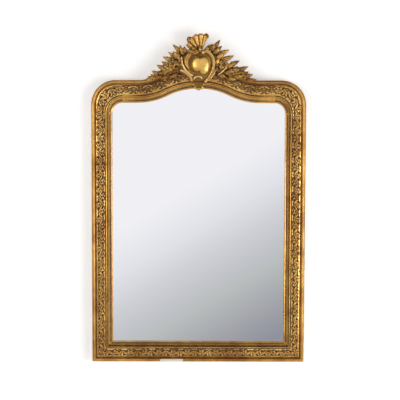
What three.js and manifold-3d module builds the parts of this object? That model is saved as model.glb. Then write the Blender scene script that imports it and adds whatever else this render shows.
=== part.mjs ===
// Giltwood overmantel mirror with rounded shoulders, a serpentine top rail and a carved cresting.
// Millimetres, +Z up, the front faces -Y and the wall is the plane y = 0.
// The frame is drawn with its bottom edge at z = 0 and moved at the end, so that the origin
// lies on the wall at the height of the hanger pins.
import * as THREE from "three";
import { mergeVertices } from "three/addons/utils/BufferGeometryUtils.js";
import Module from "manifold-3d";

// ---- Driving dimensions ----

// Outline of the frame
const FRAME_WIDTH = 1050;
const SHOULDER_HEIGHT = 1390;
const STILE_WIDTH = 102;
const BOTTOM_RAIL_WIDTH = 102;
const TOP_RAIL_WIDTH = 110;
const SIGHT_CORNER_RADIUS = 50;
const OUTER_CORNER_RADIUS = 120;
const ARCH_HALF_WIDTH = 300;
const ARCH_RISE = 70;

// Depths, from the wall forward
const BACKBOARD_THICKNESS = 9;
const CARCASS_THICKNESS = 28;
const PLATE_THICKNESS = 5;

// Section of the mouldings, measured on the stile
const SIGHT_WIDTH = 37;
const OUTER_WIDTH = 24;
const SIGHT_LIP = 4;
const SIGHT_CHAMFER = [2, 1.5];
const INNER_BEAD_CENTRE = 14.5;
const INNER_BEAD_RADIUS = 3;
const INNER_BEAD_HEIGHT = 14;
const HOLLOW_DEPTH = 3;
const OUTER_BEAD_RADIUS = 3;
const SIGHT_MOULDING_HEIGHT = 19;
const FRIEZE_EDGE_HEIGHT = 13;
const FRIEZE_CROWN_HEIGHT = 21;
const OUTER_ROUND_HEIGHT = 25;
const OUTER_QUIRK = 3;
const QUIRK_DEPTH = 2;

// Carcass and rebate
const REBATE_WIDTH = 12;
const PLATE_COVER = 10;
const CARCASS_INSET = 4;
const SPLICE_LENGTH = 50;
const BLOCK_LEG = 14;
const BLOCK_LENGTH = 60;
const BLOCK_CLEARANCE = 0.8;
const BLOCK_HEIGHTS = [380, 1000];
const BACKBOARD_MARGIN = 15;
const BACKBOARD_COUNT = 4;

// Hangers
const HANG_HEIGHT = 1000;
const HANGER_INSET = 39;
const STRAP_WIDTH = 22;
const STRAP_LENGTH = 62;
const STRAP_THICKNESS = 1.5;
const STRAP_HOLE_RADIUS = 2.2;
const STRAP_HOLES = [24, 38, 52];
const RING_WIRE_RADIUS = 2;
const RING_BAR_HALF = 12;
const RING_BEND_RADIUS = 4;
const KNUCKLE_LENGTH = 20;
const KNUCKLE_WALL = 1.5;
const RUNNING_GAP = 0.3;

// Cresting. Its points are [x, z] from the top of the arch.
const SEAT_GAP = 0.3;
const CORE_HALF_WIDTH = 50;
const CORE_NECK_HALF_WIDTH = 15;
const CORE_FOOT = 40;
const CORE_SHOULDER = 28;
const CORE_HEIGHT = 112;
const BATTEN_WIDTH = 44;
const BATTEN_FOOT = 75;
const BATTEN_HEAD = 56;
const GROUND_COVER = 10;
const BOSS_RISE = 22;
const SHELL_BOWL = 20;
const SHELL_FLUTE = 11;
const SHELL_LIP = 8;
const DROP_BOWL = 9;
const DROP_FLUTE = 6;
const DROP_LIP = 4;
const LEAF_THICKNESS = 7;
const BED_LAP = 14;
const BED_RISE = 8;

// Colours
const GOLD = 0xb98c45;
const OLD_GOLD = 0x9b7440;
const BRIGHT_GOLD = 0xd9b05a;
const PINE = 0xb08a5c;
const GLASS = 0xd6dade;
const IRON = 0x5a5650;

// ---- Values that follow ----

const carcassBack = -BACKBOARD_THICKNESS;
const carcassFront = carcassBack - CARCASS_THICKNESS;
const mouldingFront = carcassFront - OUTER_ROUND_HEIGHT;
const sightHalf = FRAME_WIDTH / 2 - STILE_WIDTH;
const sightTop = SHOULDER_HEIGHT - TOP_RAIL_WIDTH;
const sightBottom = BOTTOM_RAIL_WIDTH;
const cornerX = sightHalf - SIGHT_CORNER_RADIUS;
const cornerZ = sightTop - SIGHT_CORNER_RADIUS;
const archAngle = 2 * Math.atan(ARCH_RISE / ARCH_HALF_WIDTH);
const archRadius = ARCH_HALF_WIDTH / (2 * Math.sin(archAngle));
const crownCentreZ = sightTop + ARCH_RISE - archRadius;
const flankCentreZ = sightTop + archRadius;
const archTop = SHOULDER_HEIGHT + ARCH_RISE;
const friezeStart = SIGHT_WIDTH;
const friezeEnd = STILE_WIDTH - OUTER_WIDTH;
const groundFront = mouldingFront - GROUND_COVER;

const { lerp, degToRad } = THREE.MathUtils;
const wasm = await Module();
wasm.setup();
const group = new THREE.Group();

// ---- Solids ----

function finish(geometry, colour, roughness, metalness, name) {
  geometry.computeVertexNormals();
  const material = new THREE.MeshStandardMaterial({ color: colour, roughness, metalness });
  const mesh = new THREE.Mesh(geometry, material);
  mesh.name = name;
  group.add(mesh);
}

function addGilt(name, geometry, colour = GOLD) {
  finish(geometry, colour, 0.38, 0.85, name);
}

function addPine(name, geometry) {
  finish(geometry, PINE, 0.8, 0, name);
}

function addIron(name, geometry) {
  finish(geometry, IRON, 0.55, 0.7, name);
}

function isTurnedIn(positions, faces) {
  let volume = 0;
  for (let i = 0; i < faces.length; i += 3) {
    const [a, b, c] = [positions[faces[i]], positions[faces[i + 1]], positions[faces[i + 2]]];
    volume += a.dot(new THREE.Vector3().crossVectors(b, c));
  }
  return volume < 0;
}

function meshOf(positions, faces) {
  if (isTurnedIn(positions, faces)) faces.reverse();
  const geometry = new THREE.BufferGeometry();
  geometry.setFromPoints(positions);
  geometry.setIndex(faces);
  return geometry;
}

// A closed body through rings of points. A ring of one point is a tip, a looped body joins its
// last ring to its first, and capFaces cuts the end rings where they aren't convex.
function loft(rings, { looped = false, capFaces = null } = {}) {
  const positions = rings.flat();
  const starts = [];
  let count = 0;
  for (const ring of rings) {
    starts.push(count);
    count += ring.length;
  }
  const faces = [];
  const joins = looped ? rings.length : rings.length - 1;
  for (let i = 0; i < joins; i += 1) {
    const next = (i + 1) % rings.length;
    joinRings(faces, starts[i], rings[i].length, starts[next], rings[next].length);
  }
  if (!looped) {
    capRing(faces, starts[0], rings[0].length, capFaces, true);
    capRing(faces, starts.at(-1), rings.at(-1).length, capFaces, false);
  }
  return meshOf(positions, faces);
}

function joinRings(faces, low, lowCount, high, highCount) {
  const sides = Math.max(lowCount, highCount);
  for (let j = 0; j < sides; j += 1) {
    const k = (j + 1) % sides;
    if (lowCount === 1) faces.push(low, high + k, high + j);
    else if (highCount === 1) faces.push(low + j, low + k, high);
    else faces.push(low + j, low + k, high + k, low + j, high + k, high + j);
  }
}

function capRing(faces, start, count, capFaces, isFirst) {
  if (count < 3) return;
  const fan = [];
  for (let j = 1; j < count - 1; j += 1) fan.push([0, j, j + 1]);
  for (const face of capFaces ?? fan) {
    const [a, b, c] = [...face].sort((one, other) => one - other);
    if (isFirst) faces.push(start + a, start + c, start + b);
    else faces.push(start + a, start + b, start + c);
  }
}

function toSolid(geometry) {
  const plain = geometry.clone();
  plain.deleteAttribute("normal");
  plain.deleteAttribute("uv");
  const merged = mergeVertices(plain, 1e-4);
  const mesh = new wasm.Mesh({
    numProp: 3,
    vertProperties: new Float32Array(merged.attributes.position.array),
    triVerts: new Uint32Array(merged.index.array),
  });
  mesh.merge();
  return new wasm.Manifold(mesh);
}

function toGeometry(solid) {
  const mesh = solid.getMesh();
  const geometry = new THREE.BufferGeometry();
  geometry.setAttribute("position", new THREE.BufferAttribute(mesh.vertProperties, 3));
  geometry.setIndex(new THREE.BufferAttribute(mesh.triVerts, 1));
  return geometry;
}

function join(geometries) {
  return toGeometry(geometries.map(toSolid).reduce((whole, piece) => whole.add(piece)));
}

// What is left of a body after the cuts, without the crumbs that they break off
function cut(geometry, ...tools) {
  const rest = tools.reduce((left, tool) => left.subtract(tool), toSolid(geometry));
  const bodies = rest.decompose().sort((one, other) => other.volume() - one.volume());
  return toGeometry(bodies[0]);
}

// A body grown by the seat gap to the front and to all sides, for cutting what rests on it
function seatOf(geometry) {
  const solid = toSolid(geometry);
  const shifts = [[SEAT_GAP, 0, 0], [-SEAT_GAP, 0, 0], [0, -SEAT_GAP, 0], [0, 0, SEAT_GAP],
    [0, 0, -SEAT_GAP]];
  return shifts.reduce((whole, shift) => whole.add(solid.translate(shift)), solid);
}

function box(xLow, xHigh, yLow, yHigh, zLow, zHigh) {
  const geometry = new THREE.BoxGeometry(xHigh - xLow, yHigh - yLow, zHigh - zLow);
  geometry.translate((xLow + xHigh) / 2, (yLow + yHigh) / 2, (zLow + zHigh) / 2);
  return geometry;
}

// A flat board from its outline in the XZ plane, from its back plane forward
function board(shape, back, thickness, curveSegments) {
  const geometry = new THREE.ExtrudeGeometry(shape, {
    depth: thickness, bevelEnabled: false, curveSegments,
  });
  geometry.rotateX(Math.PI / 2);
  geometry.translate(0, back, 0);
  return geometry;
}

// ---- The frame's contour ----
// A station is one section across the mouldings: it turns a place d on the stile's section,
// counted from the sight edge outward, into [x, z]. The sight moulding and the outer moulding
// keep their width all round, and the frieze between them takes up the rest.

function reach(d, railWidth) {
  if (d <= friezeStart) return d;
  if (d >= friezeEnd) return railWidth - (STILE_WIDTH - d);
  const share = (d - friezeStart) / (friezeEnd - friezeStart);
  return lerp(friezeStart, railWidth - OUTER_WIDTH, share);
}

function mitreStation(d) {
  return [sightHalf + reach(d, STILE_WIDTH), sightBottom - reach(d, BOTTOM_RAIL_WIDTH)];
}

// Distance from the sight corner's centre to the outer edge moved in by an inset
function outerCornerRay(angle, inset) {
  const radius = OUTER_CORNER_RADIUS - inset;
  const width = FRAME_WIDTH / 2 - inset - cornerX;
  const height = SHOULDER_HEIGHT - inset - cornerZ;
  const way = new THREE.Vector2(Math.cos(angle), Math.sin(angle));
  const centre = new THREE.Vector2(width - radius, height - radius);
  if (width * way.y <= centre.y * way.x) return width / way.x;
  if (height * way.x <= centre.x * way.y) return height / way.y;
  const along = way.dot(centre);
  return along + Math.sqrt(along * along - centre.lengthSq() + radius * radius);
}

function shoulderStation(angle) {
  return (d) => {
    const inner = SIGHT_CORNER_RADIUS + Math.min(d, friezeStart);
    let distance = inner;
    if (d >= friezeEnd) distance = outerCornerRay(angle, STILE_WIDTH - d);
    else if (d > friezeStart) {
      const share = (d - friezeStart) / (friezeEnd - friezeStart);
      distance = lerp(inner, outerCornerRay(angle, OUTER_WIDTH), share);
    }
    return [cornerX + distance * Math.cos(angle), cornerZ + distance * Math.sin(angle)];
  };
}

function flatStation(x) {
  return (d) => [x, sightTop + reach(d, TOP_RAIL_WIDTH)];
}

function flankStation(angle) {
  return (d) => {
    const radius = archRadius - reach(d, TOP_RAIL_WIDTH);
    return [ARCH_HALF_WIDTH - radius * Math.sin(angle), flankCentreZ - radius * Math.cos(angle)];
  };
}

function crownStation(angle) {
  return (d) => {
    const radius = archRadius + reach(d, TOP_RAIL_WIDTH);
    return [radius * Math.sin(angle), crownCentreZ + radius * Math.cos(angle)];
  };
}

const SHOULDER_STEPS = 8;
const FLANK_STEPS = 4;
const CROWN_STEPS = 4;

function shoulderStations() {
  const list = [];
  for (let i = 0; i <= SHOULDER_STEPS; i += 1) {
    list.push(shoulderStation((Math.PI / 2) * (i / SHOULDER_STEPS)));
  }
  return list;
}

// From the shoulder to the middle of the arch
function archStations() {
  const list = [flatStation(cornerX)];
  for (let i = 0; i < FLANK_STEPS; i += 1) list.push(flankStation(archAngle * (i / FLANK_STEPS)));
  for (let i = CROWN_STEPS; i >= 0; i -= 1) list.push(crownStation(archAngle * (i / CROWN_STEPS)));
  return list;
}

// A strip of moulding with a section of [d, height] points through a list of stations
function strip(section, stations, side) {
  const outline = section.map(([d, height]) => new THREE.Vector2(d, height));
  const capFaces = THREE.ShapeUtils.triangulateShape(outline, []);
  const rings = stations.map((station) => section.map(([d, height]) => {
    const [x, z] = station(d);
    return new THREE.Vector3(side * x, carcassFront - height, z);
  }));
  return loft(rings, { capFaces });
}

function mirrored(station) {
  return (d) => [-station(d)[0], station(d)[1]];
}

// ---- Sections ----

// A round between two places at the same height, without its end points
function roundPoints(centre, radius, base, steps) {
  const points = [];
  for (let i = 1; i < steps; i += 1) {
    const angle = Math.PI * (1 - i / steps);
    points.push([centre + radius * Math.cos(angle), base + radius * Math.sin(angle)]);
  }
  return points;
}

// Sight edge, small cove, bead, deep hollow and the bead beside the frieze
function sightFace() {
  const [chamferWidth, chamferHeight] = SIGHT_CHAMFER;
  const coveStart = SIGHT_LIP + chamferHeight;
  const innerBase = INNER_BEAD_HEIGHT - INNER_BEAD_RADIUS;
  const outerBead = SIGHT_WIDTH - OUTER_BEAD_RADIUS;
  const outerBase = SIGHT_MOULDING_HEIGHT - OUTER_BEAD_RADIUS;
  const coveEnd = INNER_BEAD_CENTRE - INNER_BEAD_RADIUS;
  const hollowStart = INNER_BEAD_CENTRE + INNER_BEAD_RADIUS;
  const hollowEnd = outerBead - OUTER_BEAD_RADIUS;
  const hollowFloor = innerBase - HOLLOW_DEPTH;
  return [
    [0, 0],
    [0, SIGHT_LIP],
    [chamferWidth, coveStart],
    [lerp(chamferWidth, coveEnd, 0.6), lerp(coveStart, innerBase, 0.3)],
    [coveEnd, innerBase],
    ...roundPoints(INNER_BEAD_CENTRE, INNER_BEAD_RADIUS, innerBase, 4),
    [hollowStart, innerBase],
    [hollowStart + 1, hollowFloor],
    [lerp(hollowStart, hollowEnd, 0.5), hollowFloor],
    [lerp(hollowStart, hollowEnd, 0.85), lerp(hollowFloor, outerBase, 0.45)],
    [hollowEnd, outerBase],
    ...roundPoints(outerBead, OUTER_BEAD_RADIUS, outerBase, 4),
    [SIGHT_WIDTH, outerBase],
  ];
}

function friezeFace() {
  const points = [];
  const steps = 6;
  for (let i = 0; i <= steps; i += 1) {
    const share = i / steps;
    const rise = Math.sin(Math.PI * share);
    const height = lerp(FRIEZE_EDGE_HEIGHT, FRIEZE_CROWN_HEIGHT, rise);
    points.push([lerp(friezeStart, friezeEnd, share), height]);
  }
  return points;
}

// A quirk beside the frieze, then a full round that falls away to the outer side
function outerFace() {
  const start = friezeEnd + OUTER_QUIRK;
  const radius = (STILE_WIDTH - start) / 2;
  const quirk = FRIEZE_EDGE_HEIGHT - QUIRK_DEPTH;
  const rise = OUTER_ROUND_HEIGHT - quirk;
  const points = [[friezeEnd, quirk], [start, quirk]];
  const steps = 7;
  for (let i = 1; i <= steps; i += 1) {
    const angle = Math.PI * (1 - i / steps);
    const d = start + radius + radius * Math.cos(angle);
    points.push([d, quirk + rise * Math.sin(angle)]);
  }
  points.push([STILE_WIDTH, 0]);
  return points;
}

const sightSection = [...sightFace(), [SIGHT_WIDTH, 0]];
const friezeSection = [[friezeStart, 0], ...friezeFace(), [friezeEnd, 0]];
const outerSection = [[friezeEnd, 0], ...outerFace()];

// ---- Mouldings ----

const strips = [
  { name: "sight_moulding", section: sightSection, colour: BRIGHT_GOLD },
  { name: "frieze", section: friezeSection, colour: OLD_GOLD },
  { name: "outer_moulding", section: outerSection, colour: GOLD },
];
const sides = [["left", -1], ["right", 1]];

for (const { name, section, colour } of strips) {
  addGilt(`${name}_bottom`, strip(section, [mitreStation, mirrored(mitreStation)], 1), colour);
  for (const [label, side] of sides) {
    const stile = [mitreStation, shoulderStation(0)];
    addGilt(`${name}_stile_${label}`, strip(section, stile, side), colour);
    addGilt(`${name}_shoulder_${label}`, strip(section, shoulderStations(), side), colour);
    addGilt(`${name}_arch_${label}`, strip(section, archStations(), side), colour);
  }
}

// ---- Carcass: pine members, half lapped to each other ----

const lapPlane = -CARCASS_THICKNESS / 2;
const carcassInner = REBATE_WIDTH;
const carcassOuter = STILE_WIDTH - CARCASS_INSET;

function layer(low, high) {
  return [[carcassInner, low], [carcassOuter, low], [carcassOuter, high], [carcassInner, high]];
}

const frontLayer = layer(lapPlane, 0);
const backLayer = layer(-CARCASS_THICKNESS, lapPlane);

function carcassStile(side) {
  const inner = sightHalf + carcassInner;
  const outer = sightHalf + carcassOuter;
  const [xLow, xHigh] = side > 0 ? [inner, outer] : [-outer, -inner];
  const lap = carcassFront - lapPlane;
  const railTop = sightBottom - carcassInner;
  return join([
    box(xLow, xHigh, carcassFront, lap, 0, cornerZ - SPLICE_LENGTH),
    box(xLow, xHigh, lap, carcassBack, railTop, cornerZ),
  ]);
}

function carcassBottomRail() {
  const inner = sightHalf + carcassInner;
  const outer = sightHalf + carcassOuter;
  const lap = carcassFront - lapPlane;
  const railTop = sightBottom - carcassInner;
  return join([
    box(-inner, inner, carcassFront, lap, 0, railTop),
    box(-outer, outer, lap, carcassBack, 0, railTop),
  ]);
}

function tailStation(d) {
  const [x] = shoulderStation(0)(d);
  return [x, cornerZ - SPLICE_LENGTH];
}

function carcassShoulder(side) {
  const bend = shoulderStations();
  return join([
    strip(frontLayer, [tailStation, ...bend], side),
    strip(backLayer, [...bend, flatStation(cornerX - SPLICE_LENGTH)], side),
  ]);
}

// The two arch segments are halved over each other at the middle
function carcassArch(side) {
  const stations = archStations();
  const short = stations.slice(0, -1);
  const long = [...stations, crownStation(-archAngle / CROWN_STEPS)];
  const back = [flatStation(cornerX - SPLICE_LENGTH)];
  const front = side > 0 ? short : long;
  const rear = side > 0 ? long : short;
  return join([
    strip(frontLayer, front, side),
    strip(backLayer, [...back, ...rear.slice(1)], side),
  ]);
}

addPine("carcass_bottom_rail", carcassBottomRail());
for (const [label, side] of sides) {
  addPine(`carcass_stile_${label}`, carcassStile(side));
  addPine(`carcass_shoulder_${label}`, carcassShoulder(side));
  addPine(`carcass_arch_${label}`, carcassArch(side));
}

// ---- Plate, glazing blocks and backboards ----

// An outline parallel to the sight edge, with a straight bottom
function archedShape(offset, bottom) {
  const half = sightHalf + offset;
  const corner = SIGHT_CORNER_RADIUS + offset;
  const shape = new THREE.Shape();
  shape.moveTo(-half, bottom);
  shape.lineTo(half, bottom);
  shape.absarc(cornerX, cornerZ, corner, 0, Math.PI / 2, false);
  const flank = archRadius - offset;
  const crown = archRadius + offset;
  const down = -Math.PI / 2;
  const up = Math.PI / 2;
  shape.absarc(ARCH_HALF_WIDTH, flankCentreZ, flank, down, down - archAngle, true);
  shape.absarc(0, crownCentreZ, crown, up - archAngle, up + archAngle, false);
  shape.absarc(-ARCH_HALF_WIDTH, flankCentreZ, flank, down + archAngle, down, true);
  shape.absarc(-cornerX, cornerZ, corner, Math.PI / 2, Math.PI, false);
  return shape;
}

const plateBottom = sightBottom - REBATE_WIDTH;
const plateShape = archedShape(PLATE_COVER, plateBottom);
const plate = board(plateShape, carcassFront + PLATE_THICKNESS, PLATE_THICKNESS, 8);
finish(plate, GLASS, 0.04, 1, "mirror_plate");

// Triangular blocks glued into the corner between the plate's back and the carcass
function glazingBlock(length) {
  const shape = new THREE.Shape();
  shape.moveTo(0, 0);
  shape.lineTo(BLOCK_LEG, 0);
  shape.lineTo(0, BLOCK_LEG);
  shape.closePath();
  const geometry = new THREE.ExtrudeGeometry(shape, { depth: length, bevelEnabled: false });
  geometry.translate(0, 0, -length / 2);
  return geometry;
}

const plateBack = carcassFront + PLATE_THICKNESS;
const blockNames = ["low", "high"];
for (const [label, side] of sides) {
  BLOCK_HEIGHTS.forEach((height, index) => {
    const block = glazingBlock(BLOCK_LENGTH);
    if (side > 0) block.rotateZ(Math.PI / 2);
    block.translate(side * (sightHalf + REBATE_WIDTH), plateBack, height);
    addPine(`glazing_block_${label}_${blockNames[index]}`, block);
  });
}

const bottomBlock = glazingBlock(BLOCK_LENGTH);
bottomBlock.rotateY(-Math.PI / 2);
bottomBlock.translate(0, plateBack, plateBottom);
addPine("glazing_block_bottom", bottomBlock);

const topBlock = glazingBlock(BLOCK_LENGTH);
topBlock.rotateY(Math.PI / 2);
const crownEdge = archRadius + REBATE_WIDTH;
const topBlockDrop = crownEdge - Math.sqrt(crownEdge ** 2 - (BLOCK_LENGTH / 2) ** 2);
topBlock.translate(0, plateBack, sightTop + ARCH_RISE + REBATE_WIDTH - topBlockDrop - BLOCK_CLEARANCE);
addPine("glazing_block_top", topBlock);

// Thin boards nailed over the back, cut at the top to the arch
const coverOffset = REBATE_WIDTH + BACKBOARD_MARGIN;
const backBottom = sightBottom - coverOffset;
const boardHeight = (sightTop + ARCH_RISE + coverOffset - backBottom) / BACKBOARD_COUNT;
for (let i = 0; i < BACKBOARD_COUNT - 1; i += 1) {
  const low = backBottom + i * boardHeight;
  const half = sightHalf + coverOffset;
  addPine(`backboard_${i + 1}`, box(-half, half, carcassBack, 0, low, low + boardHeight));
}
const topBoardShape = archedShape(coverOffset, backBottom + (BACKBOARD_COUNT - 1) * boardHeight);
addPine("backboard_top", board(topBoardShape, 0, BACKBOARD_THICKNESS, 8));

// ---- Hangers: a strap with a rolled knuckle, and a D-ring that swings in it ----

const pinY = carcassBack + STRAP_THICKNESS + RUNNING_GAP + RING_WIRE_RADIUS;
const knuckleBore = RING_WIRE_RADIUS + RUNNING_GAP;
const hangerX = FRAME_WIDTH / 2 - HANGER_INSET;

function strap(centreX) {
  const half = STRAP_WIDTH / 2;
  const shape = new THREE.Shape();
  shape.moveTo(half, 0);
  shape.lineTo(-half, 0);
  shape.lineTo(-half, half - STRAP_LENGTH);
  shape.absarc(0, half - STRAP_LENGTH, half, Math.PI, 2 * Math.PI, false);
  shape.closePath();
  for (const drop of STRAP_HOLES) {
    const hole = new THREE.Path();
    hole.absarc(0, -drop, STRAP_HOLE_RADIUS, 0, 2 * Math.PI, true);
    shape.holes.push(hole);
  }
  const plateGeometry = board(shape, carcassBack + STRAP_THICKNESS, STRAP_THICKNESS, 5);
  const roll = new THREE.Shape();
  roll.absarc(0, 0, knuckleBore + KNUCKLE_WALL, 0, 2 * Math.PI, false);
  const bore = new THREE.Path();
  bore.absarc(0, 0, knuckleBore, 0, 2 * Math.PI, true);
  roll.holes.push(bore);
  const knuckle = new THREE.ExtrudeGeometry(roll, {
    depth: KNUCKLE_LENGTH, bevelEnabled: false, curveSegments: 8,
  });
  knuckle.translate(0, 0, -KNUCKLE_LENGTH / 2);
  knuckle.rotateY(Math.PI / 2);
  knuckle.translate(0, pinY, 0);
  const boreTool = new THREE.CylinderGeometry(knuckleBore, knuckleBore, STRAP_WIDTH * 2, 16);
  boreTool.rotateZ(Math.PI / 2);
  boreTool.translate(0, pinY, 0);
  const whole = cut(join([plateGeometry, knuckle]), toSolid(boreTool));
  whole.translate(centreX, 0, HANG_HEIGHT);
  return whole;
}

// The ring's wire: a straight bar in the knuckle, two tight bends and a half-round bow
function ringPath() {
  const points = [];
  const bends = 3;
  const bowSteps = 10;
  const bowRadius = RING_BAR_HALF + RING_BEND_RADIUS;
  for (let i = 0; i <= bends; i += 1) {
    const angle = Math.PI / 2 * (1 - i / bends);
    points.push([
      RING_BAR_HALF + RING_BEND_RADIUS * Math.cos(angle),
      RING_BEND_RADIUS * (Math.sin(angle) - 1),
    ]);
  }
  for (let i = 1; i < bowSteps; i += 1) {
    const angle = -Math.PI * (i / bowSteps);
    points.push([bowRadius * Math.cos(angle), bowRadius * Math.sin(angle) - RING_BEND_RADIUS]);
  }
  for (let i = bends; i >= 0; i -= 1) {
    const angle = Math.PI / 2 * (1 - i / bends);
    points.push([
      -RING_BAR_HALF - RING_BEND_RADIUS * Math.cos(angle),
      RING_BEND_RADIUS * (Math.sin(angle) - 1),
    ]);
  }
  return points;
}

function dRing(centreX) {
  const path = ringPath();
  const wireSides = 8;
  const rings = path.map(([x, z], index) => {
    const [xBefore, zBefore] = path.at(index - 1);
    const [xAfter, zAfter] = path[(index + 1) % path.length];
    const way = new THREE.Vector2(xAfter - xBefore, zAfter - zBefore).normalize();
    const isBarEnd = index === 0 || index === path.length - 1;
    if (isBarEnd) way.set(1, 0);
    const ring = [];
    for (let j = 0; j < wireSides; j += 1) {
      const angle = 2 * Math.PI * (j + 0.5) / wireSides;
      const out = RING_WIRE_RADIUS * Math.cos(angle);
      const y = pinY + RING_WIRE_RADIUS * Math.sin(angle);
      ring.push(new THREE.Vector3(centreX + x - way.y * out, y, HANG_HEIGHT + z + way.x * out));
    }
    return ring;
  });
  return loft(rings, { looped: true });
}

for (const [label, side] of sides) {
  addIron(`hanger_strap_${label}`, strap(side * hangerX));
  addIron(`hanger_ring_${label}`, dRing(side * hangerX));
}

// ---- Cresting ----

// The whole section of the arch grown by the seat gap: what the cresting is cut to sit on
function grown(section, gap) {
  const count = section.length;
  return section.map(([d, height], index) => {
    const here = new THREE.Vector2(d, height);
    const before = here.clone().sub(new THREE.Vector2(...section[(index + count - 1) % count]));
    const after = new THREE.Vector2(...section[(index + 1) % count]).sub(here);
    const sideBefore = new THREE.Vector2(-before.y, before.x).normalize();
    const sideAfter = new THREE.Vector2(-after.y, after.x).normalize();
    const middle = sideBefore.add(sideAfter).normalize();
    const stretch = Math.min(2, 1 / Math.max(0.5, Math.abs(middle.dot(sideAfter))));
    return [d + middle.x * gap * stretch, height + middle.y * gap * stretch];
  });
}

function archSection() {
  return [
    [0, 0],
    ...sightFace().slice(1),
    ...friezeFace(),
    ...outerFace(),
    [carcassOuter, 0],
    [carcassOuter, -CARCASS_THICKNESS],
    [carcassInner, -CARCASS_THICKNESS],
    [carcassInner, 0],
  ].filter(([d, height], index, all) => {
    if (index === 0) return true;
    const [dBefore, heightBefore] = all[index - 1];
    return Math.hypot(d - dBefore, height - heightBefore) > 0.01;
  });
}

const rightStations = archStations();
const leftStations = archStations().map(mirrored).reverse().slice(1);
const wholeArch = [...rightStations, ...leftStations];
const archSeat = toSolid(strip(grown(archSection(), SEAT_GAP), wholeArch, 1));

function crestPoint([x, z], y) {
  return new THREE.Vector3(x, y, archTop + z);
}

// Height of the arch's outer edge above or below its top, at a place across the frame
function archEdge(x) {
  const crown = archRadius + TOP_RAIL_WIDTH;
  const flank = archRadius - TOP_RAIL_WIDTH;
  const across = Math.abs(x);
  if (across <= crown * Math.sin(archAngle)) {
    return crownCentreZ + Math.sqrt(crown ** 2 - across ** 2) - archTop;
  }
  const rest = Math.max(0, ARCH_HALF_WIDTH - across);
  return flankCentreZ - Math.sqrt(flank ** 2 - rest ** 2) - archTop;
}

// Half-round band in the crest's plane: flat back, rounded front
const BAND_SECTION = [[-1, 0], [-1, 0.4], [-0.6, 0.85], [0, 1], [0.6, 0.85], [1, 0.4], [1, 0]];

// Sweeps a section along a curve that lies almost in the crest's plane
function sweep(points, section, widthAt, heightAt, steps) {
  const curve = new THREE.CatmullRomCurve3(points, false, "centripetal");
  const rings = [];
  for (let i = 0; i <= steps; i += 1) {
    const t = i / steps;
    const centre = curve.getPointAt(t);
    const way = curve.getTangentAt(t);
    const across = new THREE.Vector3(-way.z, 0, way.x).normalize();
    const width = widthAt(t);
    const height = heightAt(t);
    rings.push(section.map(([side, front]) => centre.clone()
      .addScaledVector(across, side * width)
      .add(new THREE.Vector3(0, -front * height, 0))));
  }
  return loft(rings);
}

// A carved scroll: a band that starts in a round head and tapers to its tail
function scroll(points, { head, body, tail, height, back = groundFront, steps = 16 }) {
  const headEnd = 0.14;
  const widthAt = (t) => {
    const plain = lerp(body, tail, t);
    if (t >= headEnd) return plain;
    const round = Math.sqrt(Math.max(0, 1 - ((t - headEnd / 2) / (headEnd / 2)) ** 2));
    return Math.max(t === 0 ? tail : plain, head * round);
  };
  const heightAt = (t) => height * (0.75 + 0.25 * Math.cos(Math.PI * t));
  return sweep(points.map((point) => crestPoint(point, back)), BAND_SECTION, widthAt, heightAt, steps);
}

// A pointed leaf with a sunk midrib. It arches forward, and lobes cut its edge in.
function leaf(base, tip, width, { lift = 6, lobes = 0, thickness = LEAF_THICKNESS } = {}) {
  const along = tip.clone().sub(base);
  const across = new THREE.Vector3(-along.z, 0, along.x).normalize();
  const shares = lobes ? [0, 0.12, 0.24, 0.36, 0.48, 0.6, 0.72, 0.84] : [0, 0.22, 0.48, 0.72, 0.9];
  const rings = shares.map((t) => {
    const belly = Math.sin(Math.PI * (0.12 + 0.88 * t ** 0.85));
    const notch = lobes ? 1 - 0.38 * Math.abs(Math.sin(Math.PI * lobes * t)) : 1;
    const half = (width / 2) * belly * notch + 0.6;
    const thick = thickness * (0.35 + 0.65 * belly);
    const centre = base.clone().addScaledVector(along, t);
    centre.y -= lift * Math.sin(Math.PI * t * 0.75);
    const at = (side, front) => centre.clone()
      .addScaledVector(across, side * half)
      .add(new THREE.Vector3(0, -front * thick, 0));
    return [at(-1, 0), at(-0.5, 0.55), at(0, 0.3), at(0.5, 0.55), at(1, 0), at(0, -0.45)];
  });
  const end = tip.clone();
  end.y -= lift * 0.7;
  return loft([...rings, [end]]);
}

function crestLeaf(from, to, width, depth, options) {
  return leaf(crestPoint(from, depth), crestPoint(to, depth), width, options);
}

// Pine core on top of the arch, and the batten behind that ties both together
const coreShape = new THREE.Shape();
const coreShoulder = archTop + CORE_SHOULDER;
const coreHead = archTop + CORE_HEIGHT;
coreShape.moveTo(-CORE_HALF_WIDTH, archTop - CORE_FOOT);
coreShape.lineTo(CORE_HALF_WIDTH, archTop - CORE_FOOT);
coreShape.lineTo(CORE_HALF_WIDTH, coreShoulder);
coreShape.quadraticCurveTo(CORE_NECK_HALF_WIDTH, coreShoulder, CORE_NECK_HALF_WIDTH, coreHead);
coreShape.lineTo(-CORE_NECK_HALF_WIDTH, coreHead);
coreShape.quadraticCurveTo(-CORE_NECK_HALF_WIDTH, coreShoulder, -CORE_HALF_WIDTH, coreShoulder);
coreShape.closePath();
const coreBlank = board(coreShape, carcassBack, CARCASS_THICKNESS, 6);
addPine("crest_core", cut(coreBlank, archSeat));

const battenLow = archTop - BATTEN_FOOT;
const battenHigh = archTop + BATTEN_HEAD;
const battenHalf = BATTEN_WIDTH / 2;
const batten = box(-battenHalf, battenHalf, carcassBack, 0, battenLow, battenHigh);
addPine("crest_batten", batten);

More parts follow.
